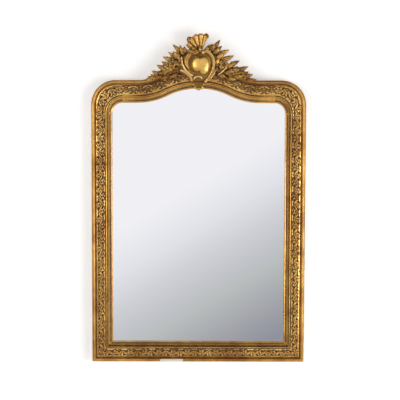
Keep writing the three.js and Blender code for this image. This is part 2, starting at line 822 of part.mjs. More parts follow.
// Ground of the cartouche: a carved shield that laps over the mouldings of the arch
const groundOutline = [
  [0, 60], [40, 58], [66, 46], [83, 20], [85, -8], [78, -36], [60, -60], [32, -77], [0, -76],
  [-32, -80], [-50, -68], [-62, -50], [-88, -38], [-102, -26], [-94, 4], [-86, 30], [-66, 52],
  [-36, 60],
];
const groundShape = new THREE.Shape();
groundShape.moveTo(groundOutline[0][0], archTop + groundOutline[0][1]);
groundShape.splineThru([...groundOutline.slice(1), groundOutline[0]]
  .map(([x, z]) => new THREE.Vector2(x, archTop + z)));
const groundBlank = board(groundShape, carcassFront, carcassFront - groundFront, 2);
const ground = cut(groundBlank, archSeat);
addGilt("cartouche_ground", ground, OLD_GOLD);
const groundSeat = seatOf(ground);

// Heart-shaped boss: a closed outline drawn in towards its crown
const bossCentre = [9, 6];
const bossOutline = [
  [57, 8], [54, 30], [42, 45], [26, 49], [5, 40], [-12, 47], [-29, 38], [-39, 18], [-39, -4],
  [-28, -24], [-10, -31], [0, -29], [10, -40], [28, -44], [46, -32],
];

function boss() {
  const points = bossOutline.map(([x, z]) => new THREE.Vector3(x, 0, z));
  const curve = new THREE.CatmullRomCurve3(points, true, "centripetal");
  const around = curve.getSpacedPoints(30).slice(0, -1);
  const rings = [0, 18, 38, 58, 76].map((degrees) => {
    const scale = Math.cos(degToRad(degrees));
    const front = groundFront - BOSS_RISE * Math.sin(degToRad(degrees));
    return around.map(({ x, z }) => {
      const place = [lerp(bossCentre[0], x, scale), lerp(bossCentre[1], z, scale)];
      return crestPoint(place, front);
    });
  });
  return loft([...rings, [crestPoint(bossCentre, groundFront - BOSS_RISE)]], {
    capFaces: capOf(rings[0]),
  });
}

function capOf(ring) {
  const outline = ring.map(({ x, z }) => new THREE.Vector2(x, z));
  return THREE.ShapeUtils.triangulateShape(outline, []);
}
const bossBody = boss();
addGilt("cartouche_boss", bossBody, BRIGHT_GOLD);

// Scrolls round the boss
const scrolls = {
  scroll_right_inner: [
    [[17, 50], [21, 60], [33, 67], [48, 61], [62, 45], [71, 24], [73, 4], [70, -18], [63, -40],
      [51, -60], [37, -75], [26, -82]],
    { head: 7.5, body: 5, tail: 3.6, height: 14, steps: 22 },
  ],
  scroll_right_outer: [
    [[81, 36], [84, 18], [84, -4], [80, -26], [71, -46], [58, -64], [46, -76]],
    { head: 3.4, body: 2.8, tail: 2.8, height: 9 },
  ],
  scroll_left_upper: [
    [[-82, 40], [-83, 26], [-81, 10], [-75, -6], [-66, -21], [-54, -35], [-40, -46], [-26, -52]],
    { head: 4, body: 3.2, tail: 2.8, height: 10 },
  ],
  scroll_left_lower: [
    [[-37, -78], [-36, -66], [-44, -53], [-58, -41], [-74, -30], [-92, -24]],
    { head: 6, body: 4.2, tail: 3.2, height: 12 },
  ],
  scroll_base: [
    [[-26, -70], [-19, -60], [-4, -55], [10, -58], [18, -68]],
    { head: 4, body: 3.2, tail: 3.2, height: 10, steps: 12 },
  ],
};
const scrollSeats = [];
for (const [name, [points, form]] of Object.entries(scrolls)) {
  const band = cut(scroll(points, form), ...scrollSeats);
  addGilt(name, band, BRIGHT_GOLD);
  scrollSeats.push(seatOf(band));
}
const faceSeats = [archSeat, groundSeat, seatOf(bossBody), ...scrollSeats];

// A fan of rounded flutes that spread from a hinge and swell towards their scalloped lip.
// A lobe is [degrees from upright, length]. The back is given as [share of the length, depth].
function fan(hinge, lobes, { face, bowl, flute, lip, backs }) {
  const stepsPerLobe = 4;
  const shares = [0.1, 0.34, 0.6, 0.82, 1];
  const last = lobes.length - 1;
  const lobeAt = (turn) => {
    const low = THREE.MathUtils.clamp(Math.floor(turn - 0.5), 0, last - 1);
    const share = turn - 0.5 - low;
    const [[angle, length], [nextAngle, nextLength]] = lobes.slice(low, low + 2);
    return [degToRad(lerp(angle, nextAngle, share)), lerp(length, nextLength, share)];
  };
  const rings = [];
  for (let i = 0; i <= lobes.length * stepsPerLobe; i += 1) {
    const turn = i / stepsPerLobe;
    const [angle, length] = lobeAt(turn);
    const swell = Math.abs(Math.sin(Math.PI * turn)) ** 0.6;
    const radius = length * lerp(0.92, 1, swell);
    const along = (share) => [
      hinge[0] + radius * share * Math.sin(angle),
      hinge[1] + radius * share * Math.cos(angle),
    ];
    const front = shares.map((share) => {
      const rise = bowl * Math.sin(Math.PI * share * 0.62) + lip * share ** 4;
      return crestPoint(along(share), face - rise - flute * (swell - 0.5) * share);
    });
    rings.push([...front, ...backs.map(([share, back]) => crestPoint(along(share), back))]);
  }
  const [hingeX, hingeZ] = [hinge[0], archTop + hinge[1]];
  const profile = rings[0].map(({ x, y, z }) => (
    new THREE.Vector2(Math.hypot(x - hingeX, z - hingeZ), -y)
  ));
  return loft(rings, { capFaces: THREE.ShapeUtils.triangulateShape(profile, []) });
}

// Scallop shell: its outer lobes curl up, and an upright leaf covers the hinge
const shellHinge = [8, 58];
const shellLobes = [[-54, 80], [-36, 90], [-17, 94], [1, 95], [17, 92]];
const shellCurls = [
  [[24, 146], [35, 149], [43, 143], [43, 134], [36, 131], [32, 137]],
  [[-38, 132], [-49, 132], [-56, 124], [-53, 115], [-45, 114], [-43, 121]],
];

function shell() {
  const curlForm = {
    head: 5.4, body: 5.2, tail: 4.4, height: 14, back: mouldingFront - 21, steps: 8,
  };
  return join([
    fan(shellHinge, shellLobes, {
      face: mouldingFront - 4,
      bowl: SHELL_BOWL,
      flute: SHELL_FLUTE,
      lip: SHELL_LIP,
      backs: [[0.95, mouldingFront - 10], [0.5, carcassFront], [0.1, carcassFront]],
    }),
    ...shellCurls.map((points) => scroll(points, curlForm)),
    crestLeaf([7, 54], [0, 100], 22, mouldingFront - 6, { lift: 9 }),
  ]);
}

const shellBody = cut(shell(), groundSeat, ...scrollSeats);
addGilt("shell", shellBody, GOLD);
faceSeats.push(seatOf(shellBody));

// Acanthus between the left scroll and the boss, and under the shell
const acanthusLeft = cut(join([
  crestLeaf([-50, -34], [-63, 46], 34, groundFront, { lobes: 5, lift: 9 }),
  crestLeaf([-57, -12], [-40, 56], 24, groundFront, { lobes: 4, lift: 6 }),
  crestLeaf([-60, -14], [-22, -42], 18, groundFront, { lobes: 3, lift: 6 }),
]), ...faceSeats);
addGilt("acanthus_left", acanthusLeft);
faceSeats.push(seatOf(acanthusLeft));
const acanthusCrown = cut(join([
  crestLeaf([-2, 55], [-66, 60], 18, groundFront - 2, { lobes: 4, lift: 7 }),
  crestLeaf([-4, 56], [-44, 80], 18, groundFront - 2, { lobes: 3, lift: 8 }),
  crestLeaf([2, 56], [-24, 62], 20, groundFront - 2, { lobes: 2, lift: 10 }),
]), ...faceSeats);
addGilt("acanthus_crown", acanthusCrown);
faceSeats.push(seatOf(acanthusCrown));

// Palmette of five rounded lobes that hangs over the sight moulding
const dropHinge = [0, -74];
const dropLobes = [[234, 36], [207, 41], [180, 44], [153, 41], [126, 36]];
const dropBlank = fan(dropHinge, dropLobes, {
  face: carcassFront - 21,
  bowl: DROP_BOWL,
  flute: DROP_FLUTE,
  lip: DROP_LIP,
  backs: [[0.95, carcassFront - 12], [0.5, carcassFront - 8], [0.1, carcassFront - 8]],
});
addGilt("cartouche_drop", cut(dropBlank, ...faceSeats));

// Sprays. The leaves of each grow out of a carved bed that follows the arch and laps over its
// outer moulding. A bed point is [x, top of the bed], a leaf [base, tip, width].
const sprayDepth = mouldingFront - 2;
const bedLines = {
  left: [[52, 76], [84, 72], [108, 52], [132, 24], [160, -6], [196, -30], [230, -54], [256, -68]],
  right: [[56, 92], [80, 78], [102, 50], [126, 26], [160, 0], [200, -28], [236, -52], [264, -66]],
};
const sprayLeaves = {
  left: [
    [[-84, 58], [-128, 100], 22], [[-78, 50], [-92, 97], 20], [[-64, 56], [-72, 90], 20],
    [[-130, 20], [-176, 40], 23], [[-108, 34], [-150, 62], 20], [[-162, -24], [-205, 1], 23],
    [[-144, -4], [-182, 18], 20], [[-188, -48], [-230, -29], 21], [[-204, -64], [-240, -62], 15],
    [[-228, -66], [-270, -73], 13], [[-88, 26], [-126, 66], 28], [[-92, -6], [-112, 14], 18],
    [[-138, -38], [-186, -26], 24], [[-124, -24], [-166, -10], 22], [[-170, -56], [-214, -58], 18],
    [[-102, -42], [-146, -62], 21], [[-70, 8], [-108, 44], 24], [[-148, -54], [-188, -70], 17],
  ],
  right: [
    [[72, 80], [104, 125], 21], [[92, 48], [147, 74], 26], [[112, 22], [171, 46], 24],
    [[148, -2], [198, 23], 23], [[188, -26], [241, -6], 22], [[220, -52], [264, -45], 20],
    [[246, -70], [284, -67], 14], [[58, 66], [84, 108], 21], [[84, 28], [130, 66], 27],
    [[68, 50], [112, 94], 25], [[132, -14], [176, 12], 24], [[162, -34], [212, -8], 23],
    [[196, -48], [244, -30], 20], [[126, -38], [174, -30], 24], [[168, -56], [216, -52], 21],
    [[92, -42], [134, -58], 21], [[74, -4], [104, 38], 24], [[142, -60], [184, -70], 17],
  ],
};

function bed(line, side) {
  const back = carcassFront - 6;
  return loft(line.map(([across, high]) => {
    const low = archEdge(across) - BED_LAP;
    const share = Math.min(1, (high - low) / (3 * BED_LAP));
    const front = sprayDepth - BED_RISE * share;
    const section = [
      [low, back], [low, sprayDepth], [lerp(low, high, 0.3), front], [lerp(low, high, 0.75), front],
      [high, sprayDepth], [high, back],
    ];
    return section.map(([z, y]) => crestPoint([side * across, z], y));
  }));
}

function spray(label, side) {
  const blades = sprayLeaves[label].map(([base, tip, width], index) => {
    const lift = 4 + 5 * (index % 3);
    return crestLeaf(base, tip, width, sprayDepth - 4, { lift });
  });
  return cut(join([bed(bedLines[label], side), ...blades]), ...faceSeats);
}

const sprays = {};
for (const [label, side] of sides) {
  sprays[label] = spray(label, side);
  addGilt(`spray_${label}`, sprays[label], OLD_GOLD);
}

// Rose: petals in three rounds about a bud, on a domed back
function rose(place, radius, depth) {
  const petals = 5;
  const around = 3 * petals;
  const rounds = [[0.6, -0.2], [1, 0.3], [0.8, 0.75], [0.6, 0.45], [0.42, 0.95], [0.2, 0.7]];
  const rings = rounds.map(([share, height], level) => {
    const ring = [];
    for (let j = 0; j < around; j += 1) {
      const angle = 2 * Math.PI * j / around;
      const out = radius * share * (1 + 0.12 * Math.cos(petals * angle + level * 1.3));
      const point = [place[0] + out * Math.cos(angle), place[1] + out * Math.sin(angle)];
      ring.push(crestPoint(point, depth - radius * height * 0.7));
    }
    return ring;
  });
  return loft([...rings, [crestPoint(place, depth - radius * 0.7)]]);
}

const roses = { left: [[-127, 4], 20], right: [[121, 1], 26] };
for (const [label, [place, radius]] of Object.entries(roses)) {
  const blank = rose(place, radius, sprayDepth - 8);
  addGilt(`rose_${label}`, cut(blank, ...faceSeats, seatOf(sprays[label])), GOLD);
}

group.position.set(0, 0, -HANG_HEIGHT);

export default group;
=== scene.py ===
"""Overmantel mirror: giltwood and gesso frame, silvered plate, carved cresting.

Drawing sizes are millimetres from the foot of the frame, and at() sets them into the frame's
metres. The front faces -Y, the wall is y = 0.
"""
import math

import bmesh
import bpy
import numpy as np
from mathutils import Matrix, Vector
from mathutils.bvhtree import BVHTree


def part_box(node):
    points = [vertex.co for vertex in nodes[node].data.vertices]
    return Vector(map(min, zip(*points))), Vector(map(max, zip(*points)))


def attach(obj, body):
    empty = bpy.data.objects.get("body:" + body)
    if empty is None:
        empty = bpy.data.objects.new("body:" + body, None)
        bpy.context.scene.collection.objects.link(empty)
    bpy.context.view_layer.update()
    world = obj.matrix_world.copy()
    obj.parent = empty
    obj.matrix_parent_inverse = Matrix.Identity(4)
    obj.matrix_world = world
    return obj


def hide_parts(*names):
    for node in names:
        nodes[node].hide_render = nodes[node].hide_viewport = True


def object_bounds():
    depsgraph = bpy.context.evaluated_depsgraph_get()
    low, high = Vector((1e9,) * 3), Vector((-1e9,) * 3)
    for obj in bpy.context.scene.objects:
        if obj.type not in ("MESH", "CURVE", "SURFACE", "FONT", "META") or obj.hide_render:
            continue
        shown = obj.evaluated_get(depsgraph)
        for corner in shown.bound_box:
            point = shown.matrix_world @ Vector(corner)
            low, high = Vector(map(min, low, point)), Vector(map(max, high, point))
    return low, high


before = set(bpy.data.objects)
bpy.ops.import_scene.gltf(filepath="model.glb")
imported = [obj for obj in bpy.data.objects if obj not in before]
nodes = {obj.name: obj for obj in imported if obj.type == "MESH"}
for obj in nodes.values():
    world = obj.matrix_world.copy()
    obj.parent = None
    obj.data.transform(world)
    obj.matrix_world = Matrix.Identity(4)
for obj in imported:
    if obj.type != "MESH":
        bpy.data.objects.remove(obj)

cad_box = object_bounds()
sides = {"left": -1, "right": 1}

# ---- Camera ----
# The photograph is taken square on from 4 m, a little above the middle of the plate and looking
# slightly down. The lens takes in 28 degrees.
CAMERA_DISTANCE = 4.0
CAMERA_HEIGHT = 0.039
CAMERA_PITCH = 3.39
CAMERA_YAW = 0.11
CAMERA_ROLL = 0.18
CAMERA_FIELD = 27.9

camera_data = bpy.data.cameras.new("camera")
camera_data.angle = math.radians(CAMERA_FIELD)
camera = bpy.data.objects.new("camera", camera_data)
camera.location = (0, -CAMERA_DISTANCE, CAMERA_HEIGHT)
turn = Matrix.Rotation(math.radians(-CAMERA_YAW), 3, "Z")
tilt = Matrix.Rotation(math.radians(90 - CAMERA_PITCH), 3, "X")
roll = Matrix.Rotation(math.radians(CAMERA_ROLL), 3, "Z")
camera.rotation_euler = (turn @ tilt @ roll).to_euler()
bpy.context.scene.collection.objects.link(camera)
bpy.context.scene.camera = camera
bpy.context.scene.view_settings.view_transform = "Standard"


# ---- Wall and floor ----
# The mirror hangs against a white painted wall over a pale floor. The paint is matt, and takes the
# soft shadow to the left of the frame. The wall is thin, so that the back can be seen from behind.
WALL_WHITE = "#f4f4f4"
FLOOR_WHITE = "#ededeb"
WALL_GLOW = 0.42
FLOOR_GLOW = 0.30
WALL_CLEARANCE = 0.003
FLOOR_DROP = 1.15
ROOM_HALF = 6.0
WALL_HEIGHT = 9.0


def colour(code):
    """A linear colour from its sRGB hex value."""
    parts = [int(code[i:i + 2], 16) / 255 for i in (1, 3, 5)]
    linear = [p / 12.92 if p <= 0.04045 else ((p + 0.055) / 1.055) ** 2.4 for p in parts]
    return (*linear, 1.0)


def add(tree, kind, settings=None, links=None):
    """One node with its settings, by name or by number, and its incoming links. A node given as
    a link stands for its first output in use."""
    made = tree.nodes.new("ShaderNode" + kind)
    for key, value in (settings or {}).items():
        if isinstance(key, int) or key in made.inputs:
            made.inputs[key].default_value = value
        else:
            setattr(made, key, value)
    for key, source in (links or {}).items():
        if isinstance(source, bpy.types.Node):
            source = next(output for output in source.outputs if output.enabled)
        tree.links.new(source, made.inputs[key])
    return made


def new_material(name):
    """An empty material and its tree."""
    material = bpy.data.materials.new(name)
    material.use_nodes = True
    material.node_tree.nodes.clear()
    return material, material.node_tree


def matt_paint(name, code, glow):
    """White wall paint: even and dull. A little glow, seen only by the eye, keeps it white."""
    material, tree = new_material(name)
    path = add(tree, "LightPath")
    seen = add(tree, "Math", {"operation": "MAXIMUM"},
               {0: path.outputs["Is Camera Ray"], 1: path.outputs["Is Glossy Ray"]})
    seen = add(tree, "Math", {"operation": "MAXIMUM"},
               {0: seen, 1: path.outputs["Is Transmission Ray"]})
    strength = add(tree, "Math", {"operation": "MULTIPLY", 1: glow}, {0: seen})
    paint = add(tree, "BsdfDiffuse", {"Color": colour(code)})
    light = add(tree, "Emission", {"Color": (1, 1, 1, 1)}, {"Strength": strength})
    both = add(tree, "AddShader", links={0: paint, 1: light})
    clear = add(tree, "BsdfTransparent")
    side = add(tree, "NewGeometry")
    through = add(tree, "Math", {"operation": "MAXIMUM"},
                  {0: side.outputs["Backfacing"], 1: path.outputs["Is Shadow Ray"]})
    shown = add(tree, "MixShader", links={0: through, 1: both, 2: clear})
    add(tree, "OutputMaterial", links={"Surface": shown})
    return material


def put_up(name, half, start, end, material):
    """A flat sheet of the room between two edges, each given by its (y, z) and as far to the left
    and right as half says. It isn't part of the object."""
    bm = bmesh.new()
    corners = [(-half, *start), (half, *start), (half, *end), (-half, *end)]
    bm.faces.new([bm.verts.new(corner) for corner in corners])
    mesh = bpy.data.meshes.new(name)
    bm.to_mesh(mesh)
    bm.free()
    mesh.materials.append(material)
    sheet = bpy.data.objects.new(name, mesh)
    bpy.context.scene.collection.objects.link(sheet)
    return sheet


floor_z = cad_box[0].z - FLOOR_DROP
put_up("wall", ROOM_HALF, (WALL_CLEARANCE, floor_z), (WALL_CLEARANCE, floor_z + WALL_HEIGHT),
       matt_paint("wall_paint", WALL_WHITE, WALL_GLOW))
put_up("floor", ROOM_HALF, (-ROOM_HALF, floor_z), (ROOM_HALF, floor_z),
       matt_paint("floor_paint", FLOOR_WHITE, FLOOR_GLOW))


# ---- Studio ----
# A soft lamp on the right, in front of the mirror and a little below its middle, and a wide weaker
# one on the left. One behind shows the back. The room is dark above, pale below and on the left.
LAMPS = {
    "key": {"place": (2.3, -2.7, -0.6), "size": 1.5, "power": 52},
    "fill": {"place": (-2.4, -3.2, 0.3), "size": 2.0, "power": 42},
    "behind": {"place": (0.6, 3.2, 0.6), "size": 2.4, "power": 60},
}
ROOM_LOW = "#f6f2ea"
ROOM_HIGH = "#2b2826"
ROOM_STRENGTH = 1.2
ROOM_RIGHT = 0.55
ROOM_CORNER = 0.3
AIM = Vector((0, 0, -0.2))

for name, lamp in LAMPS.items():
    light = bpy.data.lights.new(name, "AREA")
    light.size = lamp["size"]
    light.energy = lamp["power"]
    held = bpy.data.objects.new(name, light)
    held.location = lamp["place"]
    held.rotation_euler = (AIM - Vector(lamp["place"])).to_track_quat("-Z", "Y").to_euler()
    bpy.context.scene.collection.objects.link(held)

world = bpy.data.worlds.new("studio")
world.use_nodes = True
bpy.context.scene.world = world
tree = world.node_tree
tree.nodes.clear()
way = add(tree, "TexCoord")
parts = add(tree, "SeparateXYZ", links={0: way.outputs["Generated"]})
rise = add(tree, "MapRange", {"From Min": -0.55, "From Max": 0.35}, {"Value": parts.outputs["Z"]})
room = add(tree, "Mix",
           {"data_type": "RGBA", 6: colour(ROOM_LOW), 7: colour(ROOM_HIGH)},
           {0: rise})
across = add(tree, "MapRange", {"From Min": -0.4, "From Max": 0.8, "To Min": ROOM_STRENGTH,
                                "To Max": ROOM_STRENGTH * ROOM_RIGHT},
             {"Value": parts.outputs["X"]})
corner = add(tree, "MapRange", {"From Min": -0.95, "From Max": -0.6, "To Min": ROOM_CORNER},
             {"Value": parts.outputs["X"]})
across = add(tree, "Math", {"operation": "MULTIPLY"}, {0: across, 1: corner})
path = add(tree, "LightPath")
lit = add(tree, "Background", links={"Color": room, "Strength": across})
white = add(tree, "Background", {"Color": (1, 1, 1, 1), "Strength": 1.0})
seen = add(tree, "MixShader", links={0: path.outputs["Is Camera Ray"], 1: lit, 2: white})
add(tree, "OutputWorld", links={"Surface": seen})


# ---- Screen behind the camera ----
# The plate looks back at a pale studio screen, near white on the upper left and falling to grey on
# the lower right. Only polished surfaces see it, and it throws no light or shadow.
SCREEN_DISTANCE = 5.0
SCREEN_HALF = 4.5
SCREEN_TONES = [(0.0, "#fdfcff"), (0.225, "#ededf3"), (0.39, "#dadbe0"), (0.525, "#cdced3"),
                (0.625, "#c3c7c7"), (0.825, "#adaeb3"), (1.0, "#989aa5")]
SCREEN_FALL = (0.268, 0.0, -0.4505)
SCREEN_START = -0.135

material, tree = new_material("studio_screen")
where = add(tree, "TexCoord")
fall = add(tree, "VectorMath", {"operation": "DOT_PRODUCT", 1: SCREEN_FALL},
           {0: where.outputs["Object"]})
share = add(tree, "Math", {"operation": "ADD", 1: SCREEN_START}, {0: fall})
tones = add(tree, "ValToRGB", links={0: share})
while len(tones.color_ramp.elements) < len(SCREEN_TONES):
    tones.color_ramp.elements.new(0.5)
for stop, (place, code) in zip(tones.color_ramp.elements, SCREEN_TONES):
    stop.position = place
    stop.color = colour(code)
glow = add(tree, "Emission", links={"Color": tones})
add(tree, "OutputMaterial", links={"Surface": glow})
screen = put_up("screen", SCREEN_HALF, (-SCREEN_DISTANCE, SCREEN_HALF),
                (-SCREEN_DISTANCE, floor_z), material)
screen.visible_camera = False
screen.visible_diffuse = False
screen.visible_shadow = False


# ---- Outer moulding ----
# The plain round at the outside: pine, coated with gesso and red bole, water gilded and rubbed
# back. It is planed in seven lengths that meet at mitres below and at butt joints above.
MM = 0.001
ARCH_HALF_WIDTH = 300
OUTER_CORNER_RADIUS = 120
QUIRK_WIDTH = 3
ROUND_HEIGHT = 25
QUIRK_FLOOR = 11
SHOULDER_STEPS = 90
BEND_STEPS = 56
STRAIGHT_STEPS = 130

foot = cad_box[0].z / MM
carcass_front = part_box("frieze_bottom")[1].y / MM
frame_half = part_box("outer_moulding_stile_right")[1].x / MM
shoulder_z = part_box("outer_moulding_shoulder_right")[1].z / MM - foot
arch_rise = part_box("outer_moulding_arch_right")[1].z / MM - foot - shoulder_z
sight_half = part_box("sight_moulding_stile_right")[0].x / MM
sight_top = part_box("sight_moulding_arch_right")[0].z / MM - foot
sight_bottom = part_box("sight_moulding_bottom")[1].z / MM - foot
corner_x, corner_z = [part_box("sight_moulding_shoulder_right")[0][i] / MM for i in (0, 2)]
corner_z -= foot
sight_corner = sight_half - corner_x
frieze_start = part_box("frieze_stile_right")[0].x / MM - sight_half
frieze_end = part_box("frieze_stile_right")[1].x / MM - sight_half
stile_width = frame_half - sight_half
top_width = shoulder_z - sight_top
outer_width = stile_width - frieze_end
arch_angle = 2 * math.atan(arch_rise / ARCH_HALF_WIDTH)
arch_radius = ARCH_HALF_WIDTH / (2 * math.sin(arch_angle))
crown_z = sight_top + arch_rise - arch_radius
flank_z = sight_top + arch_radius
arch_top = shoulder_z + arch_rise


def at(x, y, z):
    """Points of the drawing, in millimetres, set into the frame in metres."""
    return np.stack(np.broadcast_arrays(x, y, np.asarray(z) + foot), axis=-1) * MM


def reach(d, rail):
    """Width from the sight edge at the place d of the stile's section, on a rail of any width."""
    return np.interp(d, [0, frieze_start, frieze_end, stile_width],
                     [0, frieze_start, rail - outer_width, rail])


def outer_ray(angle, inset):
    """Way from the sight corner's centre to the outer edge, moved in by an inset."""
    radius = OUTER_CORNER_RADIUS - inset
    width, height = frame_half - inset - corner_x, shoulder_z - inset - corner_z
    way = np.array([math.cos(angle), math.sin(angle)])
    centre = np.array([width - radius, height - radius])
    if width * way[1] <= centre[1] * way[0]:
        return width / way[0]
    if height * way[0] <= centre[0] * way[1]:
        return height / way[1]
    along = way @ centre
    return along + math.sqrt(along * along - centre @ centre + radius * radius)


def mitre(d):
    return sight_half + reach(d, stile_width), sight_bottom - reach(d, stile_width)


def shoulder(angle):
    distances = [sight_corner, sight_corner + frieze_start, outer_ray(angle, outer_width),
                 outer_ray(angle, 0)]

    def station(d):
        way = np.interp(d, [0, frieze_start, frieze_end, stile_width], distances)
        return corner_x + way * math.cos(angle), corner_z + way * math.sin(angle)
    return station


def level(x):
    return lambda d: (x + 0 * np.asarray(d), sight_top + reach(d, top_width))


def flank(angle):
    def station(d):
        radius = arch_radius - reach(d, top_width)
        return ARCH_HALF_WIDTH - radius * math.sin(angle), flank_z - radius * math.cos(angle)
    return station


def crown(angle):
    def station(d):
        radius = arch_radius + reach(d, top_width)
        return radius * math.sin(angle), crown_z + radius * math.cos(angle)
    return station


def mirrored(station):
    return lambda d: (-station(d)[0], station(d)[1])


def shares(count):
    return [i / count for i in range(count + 1)]


def between(start, end, t):
    return lambda d: tuple((1 - t) * a + t * b for a, b in zip(start(d), end(d)))


LENGTHS = {
    "bottom": [between(mitre, mirrored(mitre), t) for t in shares(STRAIGHT_STEPS)],
    "stile": [between(mitre, shoulder(0), t) for t in shares(STRAIGHT_STEPS)],
    "shoulder": [shoulder(math.pi / 2 * t) for t in shares(SHOULDER_STEPS)],
    "arch": [level(corner_x)] + [flank(arch_angle * t) for t in shares(BEND_STEPS)[:-1]]
            + [crown(arch_angle * (1 - t)) for t in shares(BEND_STEPS)],
}
LENGTH_NAMES = [("bottom", 1, "bottom")] + [
    (kind, side, f"{kind}_{label}") for kind in ("stile", "shoulder", "arch")
    for label, side in sides.items()]


def lay(columns, rows, place):
    """A grid of faces laid on a form: place(u, v) gives its points for u along it and v across
    it, both from 0 to 1. Edges that meet are sewn, and open ends are closed."""
    bm = bmesh.new()
    bmesh.ops.create_grid(bm, x_segments=columns, y_segments=rows, size=1)
    flat = np.array([vert.co[:2] for vert in bm.verts])
    u, v = np.moveaxis((flat - flat.min(axis=0)) / np.ptp(flat, axis=0), 1, 0)
    points = place(u, v)
    for vert, point in zip(bm.verts, points):
        vert.co = point
    bmesh.ops.remove_doubles(bm, verts=bm.verts, dist=1e-6)
    bmesh.ops.dissolve_degenerate(bm, edges=bm.edges, dist=1e-7)
    open_edges = [edge for edge in bm.edges if edge.is_boundary]
    if open_edges:
        bmesh.ops.holes_fill(bm, edges=open_edges, sides=0)
    bmesh.ops.recalc_face_normals(bm, faces=bm.faces)
    return bm


def lay_moulding(section, kind, side):
    """A length of moulding: its section of (d, height) points led through the stations."""
    d, height = np.array(section, float).T
    stations = LENGTHS[kind]
    across, tall = np.array([station(d) for station in stations]).transpose(1, 0, 2)
    columns = len(stations) - 1

    def place(u, v):
        i = np.rint(u * columns).astype(int)
        j = np.rint(v * len(d)).astype(int) % len(d)
        return at(side * across[i, j], carcass_front - height[j], tall[i, j])
    return lay(columns, len(d), place)


def finish_piece(name, bm, material, replaced=(), body="frame", angle=40):
    """Turns a bmesh into a piece of the object, with its finish, body and CAD nodes."""
    mesh = bpy.data.meshes.new(name)
    bm.to_mesh(mesh)
    bm.free()
    mesh.materials.append(material)
    mesh.shade_smooth()
    mesh.set_sharp_from_angle(angle=math.radians(angle))
    piece = bpy.data.objects.new(name, mesh)
    bpy.context.scene.collection.objects.link(piece)
    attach(piece, body)
    if replaced:
        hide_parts(*replaced)
    return piece


def mark(piece, name, values):
    """Keeps one number for each point of a piece, for its material to read."""
    layer = piece.data.attributes.new(name, "FLOAT", "POINT")
    layer.data.foreach_set("value", np.clip(values, 0, 1).astype(np.float32))


GOLD_LEAF = "#cfa057"
GOLD_THIN = "#9c6d38"
# The dark brown below goes into hollows: old grime, and painted shade where hollows fall into
# shadow.
GOLD_GRIME_AND_SHADE = "#3e2a16"
RED_BOLE = "#7a3a24"
GESSO = "#efe6d6"
LEAF_PATCH = 85
RUB_GRAIN = 4.5
GRIME_GRAIN = 9
BOLE_SHOWS = (0.66, 0.86)
GESSO_SHOWS = (1.35, 1.5)
CLEAN_METAL = 0.94
DIRTY_METAL = 0.05
DIRTY_ROUGHNESS = 0.78


def gilding(name, leaf, thin, roughness, rub, dirt_and_shade, lost=False):
    """Water gilding: gold leaf on red bole and gesso. The leaf is thinner in patches, rubbed
    through to the bole on the high edges, and darkened in the hollows by old grime and by painted
    shade."""
    material, tree = new_material("water_gilding_" + name)
    where = add(tree, "TexCoord").outputs["Object"]
    patch = add(tree, "TexNoise", {"Scale": 1 / (LEAF_PATCH * MM), "Detail": 3.0,
                                   "Roughness": 0.6}, {"Vector": where})
    grain = add(tree, "TexNoise", {"Scale": 1 / (RUB_GRAIN * MM), "Detail": 4.0,
                                   "Roughness": 0.65}, {"Vector": where})
    smut = add(tree, "TexNoise", {"Scale": 1 / (GRIME_GRAIN * MM), "Detail": 3.0},
               {"Vector": where})
    tone = add(tree, "MapRange", {"From Min": 0.35, "From Max": 0.65}, {"Value": patch})
    gold = add(tree, "Mix", {"data_type": "RGBA", 6: colour(thin), 7: colour(leaf)}, {0: tone})
    grime_and_shade = add(tree, "Attribute", {"attribute_name": "grime_and_shade"}).outputs["Fac"]
    worn = add(tree, "Attribute", {"attribute_name": "worn"}).outputs["Fac"]
    # The hollow mark darkens the leaf: partly old grime, partly painted shade in the hollows.
    soil_and_shade = add(tree, "Math", {"operation": "MULTIPLY_ADD", 1: 0.7, 2: -0.35}, {0: smut})
    soil_and_shade = add(tree, "Math", {"operation": "MULTIPLY_ADD", 1: dirt_and_shade, "use_clamp": True},
               {0: grime_and_shade, 2: soil_and_shade})
    rubbed = add(tree, "Math", {"operation": "MULTIPLY_ADD", 1: rub}, {0: worn, 2: grain})
    rubbed = add(tree, "MapRange", {"From Min": BOLE_SHOWS[0], "From Max": BOLE_SHOWS[1],
                                    "To Max": 0.8}, {"Value": rubbed})
    dulled = add(tree, "Mix", {"data_type": "RGBA", 7: colour(GOLD_GRIME_AND_SHADE)}, {0: soil_and_shade, 6: gold})
    face = add(tree, "Mix", {"data_type": "RGBA", 7: colour(RED_BOLE)}, {0: rubbed, 6: dulled})
    bare = add(tree, "Math", {"operation": "MAXIMUM"}, {0: soil_and_shade, 1: rubbed})
    if lost:
        gone = add(tree, "Attribute", {"attribute_name": "lost"}).outputs["Fac"]
        gone = add(tree, "Math", {"operation": "MULTIPLY_ADD", 1: 2.2}, {0: gone, 2: grain})
        gone = add(tree, "MapRange", {"From Min": GESSO_SHOWS[0], "From Max": GESSO_SHOWS[1]},
                   {"Value": gone})
        face = add(tree, "Mix", {"data_type": "RGBA", 7: colour(GESSO)}, {0: gone, 6: face})
        bare = add(tree, "Math", {"operation": "MAXIMUM"}, {0: bare, 1: gone})
    metal = add(tree, "MapRange", {"To Min": CLEAN_METAL, "To Max": DIRTY_METAL}, {"Value": bare})
    dull = add(tree, "MapRange", {"To Min": roughness, "To Max": DIRTY_ROUGHNESS}, {"Value": bare})
    bump = add(tree, "Bump", {"Strength": 0.35, "Distance": 0.35 * MM}, {"Height": grain})
    shader = add(tree, "BsdfPrincipled", links={
        "Base Color": face, "Metallic": metal,
        "Roughness": dull, "Normal": bump})
    add(tree, "OutputMaterial", links={"Surface": shader})
    return material


